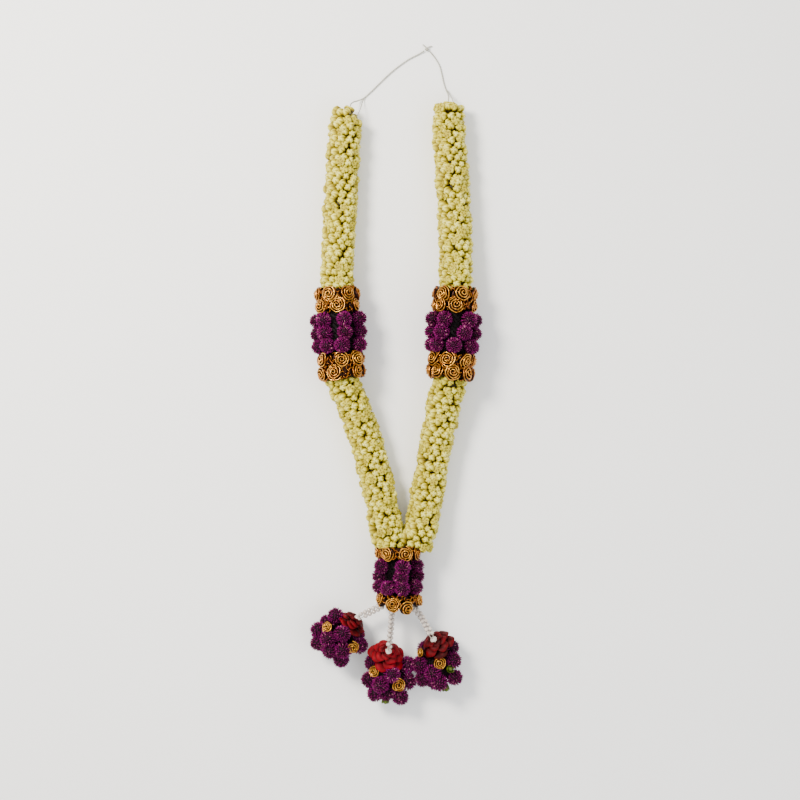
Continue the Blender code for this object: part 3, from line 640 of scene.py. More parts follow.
def lathed(rings: Array, tips: Numbers) -> Part:
    """Skin a stack of rings into a part with closed ends.

    Args:
        rings: points as rows of rings, listed from the foot to the top, each anticlockwise.
        tips: the tip value of each point, in the same layout.

    Returns:
        The skinned part.
    """
    rows, columns = rings.shape[:2]
    count = rows * columns
    values = np.broadcast_to(tips, rings.shape[:2]).reshape(-1)
    points = np.concatenate(
        [rings.reshape(-1, 3), rings[0].mean(axis=0)[None], rings[-1].mean(axis=0)[None]]
    )
    column = np.arange(columns)
    after = (column + 1) % columns
    last = count - columns
    foot = np.stack([after, column, np.full(columns, count)], axis=-1)
    top = np.stack([last + column, last + after, np.full(columns, count + 1)], axis=-1)
    faces = np.concatenate([woven_faces(rows, columns, True), foot, top])
    values = np.concatenate([values, [values[0], values[-1]]])
    return Part(points, faces, values, np.zeros(len(points)))


def thick_sheet(front: Array, thickness: float, tips: Numbers) -> Part:
    """Give a curved sheet a real thickness, with closed edges.

    Args:
        front: the net of points of the sheet's front.
        thickness: how far the back lies behind the front.
        tips: the tip value of each point of the net.

    Returns:
        The sheet as a part.
    """
    rows, columns = front.shape[:2]
    normals = np.cross(np.gradient(front, axis=1), np.gradient(front, axis=0))
    normals = normals / np.maximum(np.linalg.norm(normals, axis=-1, keepdims=True), 1e-12)
    back = front - normals * thickness
    count = rows * columns
    faces = woven_faces(rows, columns, False)
    rim = np.concatenate(
        [
            np.arange(columns - 1),
            np.arange(columns - 1, count - 1, columns),
            np.arange(count - 1, count - columns, -1),
            np.arange(count - columns, 0, -columns),
        ]
    )
    after = np.roll(rim, -1)
    near = np.stack([rim, rim + count, after + count], axis=-1)
    far = np.stack([rim, after + count, after], axis=-1)
    points = np.concatenate([front.reshape(-1, 3), back.reshape(-1, 3)])
    values = np.tile(np.broadcast_to(tips, (rows, columns)).reshape(-1), 2)
    skin = np.concatenate([faces, faces[:, ::-1] + count, near, far])
    return Part(points, skin, values, np.zeros(2 * count))


def turned(directions: Array, spins: Numbers, sizes: Numbers) -> Array:
    """Give the matrices that stand parts made along +Z in some directions.

    Args:
        directions: where each part's +Z is to point.
        spins: each part's turn about its own axis, in radians.
        sizes: each part's scale.

    Returns:
        One three by three matrix for each part.
    """
    up = unit(np.atleast_2d(directions))
    guide = np.where(np.abs(up[:, 1:2]) < 0.95, [[0.0, 1.0, 0.0]], [[1.0, 0.0, 0.0]])
    side = unit(np.cross(guide, up))
    front = np.cross(up, side)
    spins = np.asarray(spins, float).reshape(-1, 1)
    first = side * np.cos(spins) + front * np.sin(spins)
    second = front * np.cos(spins) - side * np.sin(spins)
    return np.stack([first, second, up], axis=-1) * np.asarray(sizes, float).reshape(-1, 1, 1)


def ringed(centres: Array, side: Array, up: Array, reach: Numbers, columns: int) -> Array:
    """Give rings of points about some centres, in the order that `lathed` takes.

    Args:
        centres: the middle of each ring.
        side: each ring's sideways direction.
        up: each ring's upward direction.
        reach: how far the points are from the middle.
        columns: how many points each ring has.

    Returns:
        The rings of points.
    """
    turn = turns_of(columns)
    rings = (
        centres[:, None]
        + side[:, None] * (np.cos(turn) * reach)[..., None]
        + up[:, None] * (np.sin(turn) * reach)[..., None]
    )
    return rings[:, ::-1]


def padded_core(
    line: Line, span: tuple[float, float], radius: float, tip: float, seed: int
) -> Part:
    """Make the uneven core that a band of flowers is sewn to.

    Args:
        line: the line down its middle.
        span: the distances where it starts and ends.
        radius: its usual radius.
        tip: its tip value, which sets how dark it is; kept low as painted shade inside the band or
            rope.
        seed: the number that its unevenness comes from.

    Returns:
        The core, with closed ends.
    """
    columns, row_step, end_taper = 26, 3.0 * MM, 0.92
    draw = np.random.default_rng(seed)
    rows = max(4, round((span[1] - span[0]) / row_step))
    centres, _, side, up = line.frames(np.linspace(span[0], span[1], rows))
    reach = radius * (1.0 + draw.uniform(-0.04, 0.04, (rows, columns)))
    reach[[0, -1]] *= end_taper
    return lathed(ringed(centres, side, up, reach, columns), tip)


@dataclass
class Sewing:
    """Small parts sewn together into one mesh."""

    parts: list[Part] = field(default_factory=list)

    def stamp(self, part: Part, places: Array, turns: Array, tones: Numbers) -> None:
        """Sew on copies of a part.

        Args:
            part: the part, standing on the origin along +Z.
            places: where each copy's foot goes.
            turns: a three by three matrix for each copy.
            tones: how much lighter or darker each copy is.
        """
        places = np.atleast_2d(places)
        count, size = len(places), len(part.points)
        points = np.einsum("kij,nj->kni", turns, part.points) + places[:, None, :]
        faces = part.faces[None] + (np.arange(count) * size)[:, None, None]
        shades = part.tones[None] + np.asarray(tones, float).reshape(-1, 1)
        tips = np.tile(part.tips, count)
        self.parts.append(Part(points.reshape(-1, 3), faces.reshape(-1, 3), tips, shades.ravel()))

    @classmethod
    def of_one(cls, part: Part, place: Array, turn: Array, tone: float) -> Sewing:
        """Start with one copy of a part.

        Args:
            part: the part, standing on the origin along +Z.
            place: where its foot goes.
            turn: the matrix that stands it in its direction.
            tone: how much lighter or darker it is.

        Returns:
            The new sewing.
        """
        sewing = cls()
        sewing.stamp(part, place, turn, tone)
        return sewing

    def piece(self, name: str, material: bpy.types.Material) -> bpy.types.Object:
        """Make one object of everything that is sewn on.

        Args:
            name: the piece's name.
            material: its finish.

        Returns:
            The piece, linked into the scene.
        """
        whole = Part.joined(self.parts)
        points = whole.points.copy()
        points[:, 2] = np.maximum(points[:, 2], FLOOR_CLEARANCE)
        mesh = bpy.data.meshes.new(name)
        mesh.vertices.add(len(points))
        mesh.vertices.foreach_set("co", points.astype(np.float32).ravel())
        mesh.loops.add(whole.faces.size)
        mesh.loops.foreach_set("vertex_index", whole.faces.astype(np.int32).ravel())
        mesh.polygons.add(len(whole.faces))
        mesh.polygons.foreach_set("loop_start", np.arange(0, whole.faces.size, 3, dtype=np.int32))
        for label, values in (("tip", whole.tips), ("tone", whole.tones)):
            layer = mesh.attributes.new(label, "FLOAT", "POINT")
            layer.data.foreach_set("value", np.clip(values, -1.0, 1.0).astype(np.float32))
        mesh.update(calc_edges=True)
        mesh.validate()
        mesh.polygons.foreach_set("use_smooth", np.full(len(mesh.polygons), True))
        mesh.materials.append(material)
        item = bpy.data.objects.new(name, mesh)
        bpy.context.scene.collection.objects.link(item)
        return item


# Flowers


@dataclass(frozen=True)
class JasmineBud:
    """One tied jasmine bud: overlapping petals wound about each other, closed or a little open.

    Each profile gives a bud's reach, as a share of its radius, and its height, as a share of its
    length, from the stalk up.
    """

    petals: int = 4
    petal_columns: int = 4
    length: float = 16.4 * MM
    radius: float = 5.8 * MM
    fold: float = 0.28
    fold_lift: float = 0.12
    twist: float = 0.8
    openness: float = 0.0
    # crease_shade darkens the low side of each cleft between petals: painted shade.
    crease_shade: float = 0.45
    reach_closed: tuple[float, ...] = (0.34, 0.62, 0.86, 1.00, 0.97, 0.80, 0.54, 0.26, 0.03)
    height_closed: tuple[float, ...] = (0.00, 0.14, 0.32, 0.52, 0.68, 0.82, 0.925, 0.98, 1.00)
    reach_open: tuple[float, ...] = (0.34, 0.60, 0.84, 1.02, 1.16, 1.02, 0.66, 0.36, 0.05)
    height_open: tuple[float, ...] = (0.00, 0.14, 0.34, 0.58, 0.78, 0.90, 0.82, 0.85, 0.92)
    lights: tuple[float, ...] = (0.02, 0.12, 0.28, 0.48, 0.64, 0.80, 0.92, 1.0, 0.95)
    inner_shade: tuple[float, ...] = (0.0, 0.0, 0.0, 0.0, -0.2, -0.1, 0.35, 0.30, 0.15)

    def part(self) -> Part:
        """Wind the petals.

        Returns:
            The bud, with its stalk end at the origin.
        """
        closed = np.array([self.reach_closed, self.height_closed]).T
        opened = np.array([self.reach_open, self.height_open]).T
        profile = closed + (opened - closed) * self.openness
        inner = np.array(self.inner_shade) * self.openness
        step = 1.0 / self.petal_columns
        across = np.tile(np.linspace(0.0, 1.0 - 0.30 * step, self.petal_columns), self.petals)
        petal = np.repeat(np.arange(self.petals), self.petal_columns)
        rise = np.linspace(0.0, 1.0, len(profile))
        angle = math.tau * (petal + across)[None] / self.petals + self.twist * rise[:, None]
        standing = self.fold * np.sin(np.clip(rise * 1.25, 0.0, 1.0) * math.pi / 2)[:, None]
        overlap = 0.5 - across[None]
        reach = profile[:, 0:1] * self.radius * (1.0 + standing * overlap)
        lift = standing * overlap * self.fold_lift * self.length * profile[:, 0:1]
        rings = spun(reach, angle, profile[:, 1:2] * self.length + lift)
        crease_shade = self.crease_shade * np.clip(across[None] * 2.0 - 1.0, 0.0, 1.0) * rise[:, None]
        lights = np.array(self.lights)[:, None] - inner[:, None] - crease_shade
        return lathed(rings, np.clip(lights, 0.0, 1.0))


@dataclass(frozen=True)
class AmaranthHead:
    """One globe amaranth head: a ball of narrow papery bracts with a few tiny pale florets."""

    heart: float = 8.6 * MM
    # The heart inside the head is kept dark as painted shade.
    heart_shade_tip: float = 0.36
    reach: float = 12.0 * MM
    scatter: float = 0.7 * MM
    bend: float = 0.5 * MM
    bracts: int = 200
    bract_width: float = 1.75 * MM
    florets: int = 16
    floret_width: float = 1.1 * MM
    floret_tip: float = 0.96
    seed: int = 1

    def bract(self, direction: Array, reach: float, width: float, lean: Array) -> Part:
        """Shape one bract.

        Args:
            direction: which way it points from the middle of the head.
            reach: how far its point is from the middle of the head.
            width: how wide it is at its widest.
            lean: a small sideways lean of its point.

        Returns:
            The bract, a three-sided spindle with its foot inside the ball.
        """
        guide = np.array([0.0, 0.0, 1.0]) if abs(direction[2]) < 0.9 else np.array([1.0, 0.0, 0.0])
        side = unit(np.cross(guide, direction))
        ridge = np.cross(direction, side)
        points = []
        for share, spread in ((0.64, 0.75), (0.82, 1.0)):
            centre = direction * reach * share + lean * share * 0.4
            points.append(centre - side * width * spread / 2 - ridge * width * spread * 0.22)
            points.append(centre + side * width * spread / 2 - ridge * width * spread * 0.22)
            points.append(centre + ridge * width * spread * 0.45)
        points.append(direction * reach + lean)
        sides = [(0, 1, 4), (0, 4, 3), (1, 2, 5), (1, 5, 4), (2, 0, 3), (2, 3, 5)]
        point = [(3, 4, 6), (4, 5, 6), (5, 3, 6)]
        # Painted shade: each bract is darker towards its foot inside the head and lighter at its
        # point.
        tips = np.array([0.30, 0.30, 0.30, 0.66, 0.66, 0.74, 0.87])
        return Part(np.array(points), np.array(sides + point), tips, np.zeros(7))

    def part(self) -> Part:
        """Set the bracts round the ball.

        Returns:
            The head, with its middle at the origin.
        """
        draw = np.random.default_rng(self.seed)
        parts = [lathed(self.heart * globe(7, 12, 0.06), self.heart_shade_tip)]
        for index in range(self.bracts):
            height = 1.0 - 2.0 * (index + 0.5) / self.bracts
            across = math.sqrt(1.0 - height * height)
            turn = index * GOLDEN_ANGLE + draw.uniform(-0.12, 0.12)
            direction = unit(spun(across, turn, height) + draw.uniform(-0.06, 0.06, 3))
            reach = self.reach + draw.uniform(-1.0, 1.0) * self.scatter
            width = self.bract_width * draw.uniform(0.8, 1.2)
            bract = self.bract(direction, reach, width, draw.uniform(-1.0, 1.0, 3) * self.bend)
            parts.append(bract.toned(draw.uniform(-0.4, 0.4)))
        for _ in range(self.florets):
            direction = unit(draw.normal(size=3))
            floret = self.bract(direction, self.reach, self.floret_width, np.zeros(3))
            parts.append(replace(floret, tips=np.full(7, self.floret_tip)))
        return Part.joined(parts)


@dataclass(frozen=True)
class BractTuft:
    # The tufts are coloured near black to dark wine as painted shade between the heads.
    """A few short bracts that fill the dark places between the heads."""

    length: float = 5.5 * MM
    width: float = 1.8 * MM
    foot: float = 0.5 * MM
    bracts: int = 8
    tip: float = 0.42
    seed: int = 3

    def part(self) -> Part:
        """Fan the bracts out of one foot.

        Returns:
            The tuft, standing on the origin along +Z.
        """
        draw = np.random.default_rng(self.seed)
        faces = np.array([(0, 1, 3), (1, 2, 3), (2, 0, 3), (0, 2, 1)])
        parts = []
        for index in range(self.bracts):
            turn = math.tau * index / self.bracts + draw.uniform(-0.3, 0.3)
            tilt = draw.uniform(0.15, 1.0)
            direction = spun(math.sin(tilt), turn, math.cos(tilt))
            side = unit(np.cross(direction, np.array([0.1, 0.2, 1.0])))
            ridge = np.cross(direction, side)
            length = self.length * draw.uniform(0.7, 1.1)
            foot, half = direction * self.foot, self.width / 2
            points = [foot - side * half, foot + side * half, foot + ridge * half]
            tips = np.array([0.0, 0.0, 0.0, self.tip])
            parts.append(Part(np.array([*points, direction * length]), faces, tips, np.zeros(4)))
        return Part.joined(parts)


@dataclass(frozen=True)
class RibbonRosette:
    """One rosette of metallised ribbon, rolled and folded, its loose outer turns lying lower.

    The section gives the ribbon's points across its edge: outwards as a share of its lip, upwards
    as a share of its height, and the tip value. The back gives the closed back's rings: reach as a
    share of the radius, and level in millimetres.
    """

    radius: float = 12.2 * MM
    start: float = 0.9 * MM
    turns: float = 3.3
    height: float = 7.4 * MM
    outer_height: float = 2.6 * MM
    lip: float = 1.15 * MM
    steps: int = 72
    corners: int = 5
    folded: float = 0.65
    back_columns: int = 14
    back_tip: float = 0.08
    seed: int = 1
    # The section's tip values paint a highlight on the ribbon's lip and shade at its foot; back_tip
    # keeps the back dark as painted shade.
    section: tuple[Triple, ...] = (
        (-0.30, -0.50, 0.00),
        (-0.38, 0.55, 0.25),
        (-0.45, 0.88, 0.75),
        (0.05, 1.02, 1.00),
        (0.70, 0.94, 0.90),
        (0.85, 0.74, 0.50),
        (0.40, 0.45, 0.18),
        (0.30, -0.50, 0.00),
    )
    back: tuple[tuple[float, float], ...] = ((0.70, -5.0), (0.84, -1.0), (0.66, 0.8), (0.05, 2.6))

    def part(self) -> Part:
        """Roll the ribbon and close the back.

        Returns:
            The rosette, facing +Z with its back at the origin's height.
        """
        draw = np.random.default_rng(self.seed)
        share = np.linspace(0.0, 1.0, self.steps)
        angle = share * self.turns * math.tau + draw.uniform(0.0, math.tau)
        wave = draw.uniform(0.0, math.tau, 3)
        corner = math.tau / self.corners
        local = np.mod(angle * 1.06 + wave[0], corner) - corner / 2
        fold = 1.0 + self.folded * np.sqrt(share) * (math.cos(corner / 2) / np.cos(local) - 0.9)
        reach = (self.start + (self.radius - self.lip - self.start) * share**0.95) * fold
        reach += 0.3 * MM * np.sin(angle * 2.3 + wave[1]) * share
        height = self.height + (self.outer_height - self.height) * share**1.7
        height += 0.5 * MM * np.sin(angle * 1.7 + wave[2]) + 0.35 * MM * np.sin(angle * 4.1)
        height *= 1.0 - 0.5 * np.clip((share - 0.95) / 0.05, 0.0, 1.0)
        outwards, upwards, tips = np.array(self.section).T
        width = self.lip * (1.0 + 0.25 * np.sin(angle * 3.1 + wave[1]))
        radial = reach[:, None] + outwards[None] * width[:, None]
        rings = spun(radial, angle[:, None], height[:, None] * upwards[None])
        ribbon = lathed(rings, tips[None])
        back = np.array(self.back) * (self.radius, MM)
        shell = spun(back[:, 0:1], turns_of(self.back_columns), back[:, 1:2])
        return Part.joined([ribbon, lathed(shell, self.back_tip)])


@dataclass(frozen=True)
class RibbonFold:
    """A short curl of the same ribbon on edge, tucked between the rosettes."""

    length: float = 9.0 * MM
    height: float = 5.2 * MM
    lip: float = 1.1 * MM
    curl: float = 3.6
    steps: int = 8
    # brightness dims the fold's painted lip highlight, so the tucked folds read as shaded between
    # the rosettes.
    brightness: float = 0.82
    section: tuple[Triple, ...] = (
        (-0.3, -0.4, 0.0),
        (-0.4, 0.85, 0.7),
        (0.05, 1.0, 1.0),
        (0.75, 0.9, 0.85),
        (0.3, -0.4, 0.0),
    )

    def part(self) -> Part:
        """Curl the ribbon.

        Returns:
            The curl, standing on the origin along +Z.
        """
        share = np.linspace(0.0, 1.0, self.steps)
        turn = (share - 0.5) * self.curl
        outwards, upwards, tips = np.array(self.section).T
        drop = 1.0 - 0.35 * (2.0 * share - 1.0) ** 2
        radial = self.length / 3.0 + outwards[None] * self.lip
        rings = spun(radial, turn[:, None], self.height * drop[:, None] * upwards[None])
        return lathed(rings, tips[None] * self.brightness)


@dataclass(frozen=True)
class RoseBloom:
    """One red rose: rounds of cupped petals with rolled rims about a tight heart.

    Each round gives its petals, how far and how high their rims are, and half the angle that a
    petal covers. The cup gives reach, level and tip value. Lengths are shares of the radius.
    """

    radius: float = 24.0 * MM
    rounds: tuple[tuple[int, float, float, float], ...] = (
        (5, 1.00, 0.04, 0.80),
        (5, 0.84, 0.26, 0.78),
        (4, 0.64, 0.42, 0.95),
        (4, 0.46, 0.52, 0.95),
        (3, 0.30, 0.58, 1.15),
    )
    # The cup's tip values stay low: painted shade in the bowl of the rose.
    cup: tuple[Triple, ...] = (
        (0.16, -0.50, 0.0),
        (0.42, -0.34, 0.1),
        (0.60, -0.14, 0.2),
        (0.40, -0.06, 0.1),
    )
    cup_columns: int = 14
    petal_rows: int = 10
    petal_columns: int = 15
    thickness: float = 0.5 * MM
    heart_drop: float = 0.12
    heart_light: float = 0.85
    seed: int = 1

    def petal(
        self, turn: float, reach: float, height: float, half_width: float, wave: float
    ) -> Part:
        """Shape one petal.

        Args:
            turn: its angle round the rose.
            reach: how far out its rim is, as a share of the rose's radius.
            height: how high its rim is, as a share of the rose's radius.
            half_width: half the angle that it covers, in radians.
            wave: where its ruffles start.

        Returns:
            The petal as a thin solid.
        """
        across = np.linspace(-1.0, 1.0, self.petal_columns)[None]
        outwards = np.linspace(0.0, 1.0, self.petal_rows)[:, None]
        trimmed = outwards * (1.0 - 0.24 * np.abs(across) ** 3 + 0.03 * np.cos(across * math.pi))
        bowl = np.sin(np.clip(trimmed * 1.1, 0.0, 1.0) * math.pi / 2)
        rim = np.clip((trimmed - 0.80) / 0.20, 0.0, 1.0)
        radial = 0.08 + (reach - 0.08) * (0.15 * trimmed + 0.85 * trimmed**1.9) + 0.06 * rim**2
        radial = radial + 0.022 * trimmed**3 * np.sin(2.1 * math.pi * across + wave)
        level = -0.34 + (height + 0.34) * bowl - 0.11 * rim**2
        level = level + 0.035 * trimmed**3 * np.cos(1.7 * math.pi * across + wave)
        angle = turn + across * half_width * (0.35 + 0.65 * np.sqrt(trimmed))
        lights = 0.05 + 0.95 * trimmed**2.4 - 0.25 * np.abs(across) ** 4
        net = self.radius * spun(radial, angle, level)
        return thick_sheet(net, self.thickness, np.clip(lights, 0.0, 1.0))

    def part(self) -> Part:
        """Set the petals round the heart.

        Returns:
            The rose, facing +Z about the middle of its bowl.
        """
        draw = np.random.default_rng(self.seed)
        parts = []
        for index, (count, reach, height, half_width) in enumerate(self.rounds):
            for number in range(count):
                turn = math.tau * (number + 0.5 * (index % 2)) / count + draw.uniform(-0.12, 0.12)
                petal = self.petal(
                    turn,
                    reach * draw.uniform(0.94, 1.04),
                    height + draw.uniform(-0.04, 0.04),
                    half_width * draw.uniform(0.95, 1.1),
                    draw.uniform(0.0, math.tau),
                )
                parts.append(petal.toned(draw.uniform(-0.4, 0.4)))
        cup = np.array(self.cup)
        rings = self.radius * spun(cup[:, 0:1], turns_of(self.cup_columns), cup[:, 1:2])
        parts.append(lathed(rings, cup[:, 2:3]))
        heart = RibbonRosette(
            radius=0.34 * self.radius,
            start=0.03 * self.radius,
            turns=2.3,
            height=0.80 * self.radius,
            outer_height=0.62 * self.radius,
            lip=0.05 * self.radius,
            steps=44,
            seed=self.seed + 5,
        ).part()
        lowered = heart.points - np.array([0.0, 0.0, self.heart_drop * self.radius])
        parts.append(replace(heart, points=lowered, tips=heart.tips * self.heart_light))
        return Part.joined(parts)


@dataclass(frozen=True)
class GreenBud:
    """One green bud held in pointed sepals. The profile gives reach and level by its size."""

    size: float = 5.4 * MM
    sepals: int = 5
    columns: int = 12
    sepal_rows: int = 7
    sepal_columns: int = 5
    sepal_thickness: float = 0.4 * MM
    reach: tuple[float, ...] = (0.30, 0.62, 0.82, 0.80, 0.55, 0.12)
    level: tuple[float, ...] = (-1.5, -1.0, -0.3, 0.35, 0.95, 1.3)

    def part(self) -> Part:
        """Set the sepals about the bud.

        Returns:
            The bud, facing +Z.
        """
        reach, level = np.array(self.reach)[:, None], np.array(self.level)[:, None]
        rings = self.size * spun(reach, turns_of(self.columns), level)
        parts = [lathed(rings, np.linspace(0.2, 0.8, len(reach))[:, None])]
        across = np.linspace(-1.0, 1.0, self.sepal_columns)[None]
        rise = np.linspace(0.0, 1.0, self.sepal_rows)[:, None]
        width = 0.62 * np.sin(np.clip(rise * 0.86 + 0.14, 0.0, 1.0) * math.pi) ** 0.7
        spread = 0.70 + 0.34 * np.sin(rise * math.pi * 0.8) + 0.30 * rise**3
        for sepal in range(self.sepals):
            angle = math.tau * sepal / self.sepals + across * width
            net = self.size * spun(spread, angle, -1.1 + 2.3 * rise)
            parts.append(thick_sheet(net, self.sepal_thickness, 0.25 + 0.75 * rise))
        return Part.joined(parts)


@dataclass(frozen=True)
class Bead:
    """One drilled bead, with the rounded mouths of its hole at both ends."""

    radius: float = 2.95 * MM
    hole: float = 0.45 * MM
    columns: int = 16
    rows: int = 11

    def part(self) -> Part:
        """Turn the bead.

        Returns:
            The bead, with its hole along +Z and its middle at the origin.
        """
        start = math.asin(self.hole * 1.5 / self.radius)
        tilt = np.linspace(start, math.pi - start, self.rows)
        mouth = self.radius * 0.90
        radial = np.concatenate([[self.hole], self.radius * np.sin(tilt), [self.hole]])
        level = np.concatenate([[-mouth], -self.radius * np.cos(tilt), [mouth]])
        lights = np.concatenate([[0.0], 0.35 + 0.65 * np.sin(tilt), [0.0]])
        rings = spun(radial[:, None], turns_of(self.columns), level[:, None])
        return lathed(rings, lights[:, None])


# Sizes and places, repeated from the solids

SIDE_LINES: dict[Side, tuple[Triple, ...]] = {
    Side.LEFT: (
        (-67.5, 423.5, 22.8),
        (-73.0, 402.0, 22.8),
        (-76.0, 374.0, 22.8),
        (-79.5, 317.0, 22.9),
        (-82.0, 260.0, 24.2),
        (-85.0, 210.0, 31.5),
        (-86.0, 161.0, 37.6),
        (-82.5, 97.0, 38.0),
        (-78.0, 33.0, 37.4),
        (-68.5, 6.0, 33.5),
        (-56.0, -24.0, 26.5),
        (-44.5, -55.0, 23.2),
        (-35.5, -90.0, 22.8),
        (-27.5, -124.0, 23.0),
        (-20.5, -158.0, 26.0),
        (-14.5, -184.0, 31.5),
        (-9.0, -204.0, 34.2),
        (-6.0, -222.0, 34.5),
        (-4.5, -250.0, 34.5),
        (-4.0, -275.0, 34.5),
    ),
    Side.RIGHT: (
        (74.0, 430.5, 22.8),
        (73.5, 404.0, 22.8),
        (75.0, 374.0, 22.8),
        (79.5, 317.0, 22.9),
        (82.5, 260.0, 24.2),
        (83.0, 210.0, 31.5),
        (83.0, 161.0, 37.6),
        (80.5, 97.0, 38.0),
        (75.5, 33.0, 37.4),
        (70.0, 8.0, 33.5),
        (63.5, -22.0, 26.5),
        (56.5, -55.0, 23.2),
        (50.5, -90.0, 22.8),
        (44.5, -124.0, 23.0),
        (39.0, -158.0, 26.0),
        (34.5, -182.0, 31.5),
        (26.5, -201.0, 34.2),
        (16.0, -218.0, 34.5),
        (9.5, -245.0, 34.5),
        (8.0, -275.0, 34.5),
    ),
}

NECK_ROUTES: dict[Side, tuple[Triple, ...]] = {
    Side.LEFT: (
        (-67.1, 424.6, 22.8),
        (-66.3, 428.0, 22.2),
        (-62.6, 432.0, 15.6),
        (-56.4, 435.6, 5.6),
        (-48.0, 440.0, 1.4),
        (-37.2, 449.6, 1.25),
        (-26.6, 460.0, 1.25),
        (-7.0, 478.4, 1.25),
        (15.0, 494.8, 1.25),
        (32.8, 504.2, 1.5),
        (39.6, 508.3, 3.1),
    ),
    Side.RIGHT: (
        (74.0, 431.5, 22.8),
        (74.1, 435.0, 22.0),
        (74.4, 440.2, 12.6),
        (73.4, 446.4, 3.2),
        (70.4, 454.0, 1.25),
        (67.4, 464.0, 1.25),
        (64.8, 476.0, 1.25),
        (61.6, 487.2, 1.25),
        (55.0, 498.4, 1.5),
        (46.7, 508.2, 3.1),
    ),
}
NECK_KNOT_AT: Triple = (43.2, 510.6, 3.4)

# Rows of flowers: how far along its band a row is sewn, and each flower's angle round the band in
# degrees, where 180 is the left edge, 90 the middle of the top and 0 the right edge.
COLLAR_FLOWERS: dict[Side, dict[str, tuple[FlowerRow, ...]]] = {
    Side.LEFT: {
        "gold_top": (
            (0.25, (170, 110, 56, 4, 312, 262, 216)),
            (0.75, (150, 88, 22, 332, 284, 238, 194)),
        ),
        "amaranth": (
            (0.19, (178, 132, 72, 14, 322, 272, 224)),
            (0.50, (182, 130, 72, 8, 318, 270, 226)),
            (0.81, (178, 124, 82, 20, 324, 276, 228)),
        ),
        "gold_bottom": (
            (0.25, (147, 86, 36, 350, 300, 250, 198)),
            (0.75, (158, 108, 44, 352, 302, 254, 206)),
        ),
    },
    Side.RIGHT: {
        "gold_top": (
            (0.25, (180, 128, 72, 10, 318, 270, 226)),
            (0.75, (176, 134, 90, 14, 322, 274, 226)),
        ),
        "amaranth": (
            (0.19, (176, 118, 46, 0, 314, 266, 222)),
            (0.50, (182, 126, 60, 8, 320, 272, 228)),
            (0.81, (186, 140, 88, 30, 340, 290, 236)),
        ),
        "gold_bottom": (
            (0.23, (154, 103, 50, 4, 314, 264, 210)),
            (0.74, (172, 130, 86, 40, 352, 296, 236)),
        ),
    },
}
PENDANT_FLOWERS: dict[str, tuple[FlowerRow, ...]] = {
    "gold_top": ((0.50, (175, 122, 70, 27, 332, 276, 228)),),
    "amaranth": (
        (0.21, (156, 76, 6, 316, 262, 208)),
        (0.50, (178, 82, 2, 318, 270, 226)),
        (0.79, (178, 124, 78, 22, 326, 272, 224)),
    ),
}
# The pendant's lower rosettes: each one's angle, and how far it hangs below the heads
PENDANT_LOWER_ROSETTES: tuple[tuple[int, float], ...] = (
    (153, 6.8),
    (107, 12.5),
    (66, 17.0),
    (8, 8.5),
    (316, 6.8),
    (262, 6.8),
    (206, 6.8),
)


@dataclass(frozen=True)
class BunchPlan:
    """Where everything in one bunch sits, in millimetres from the bunch's middle."""

    centre: Triple
    reach: Triple
    rose: Placed
    heads: tuple[Triple, ...]
    rosettes: tuple[Placed, ...]
    greens: tuple[Placed, ...]
    strand_roll: float
    strand: tuple[Triple, ...]


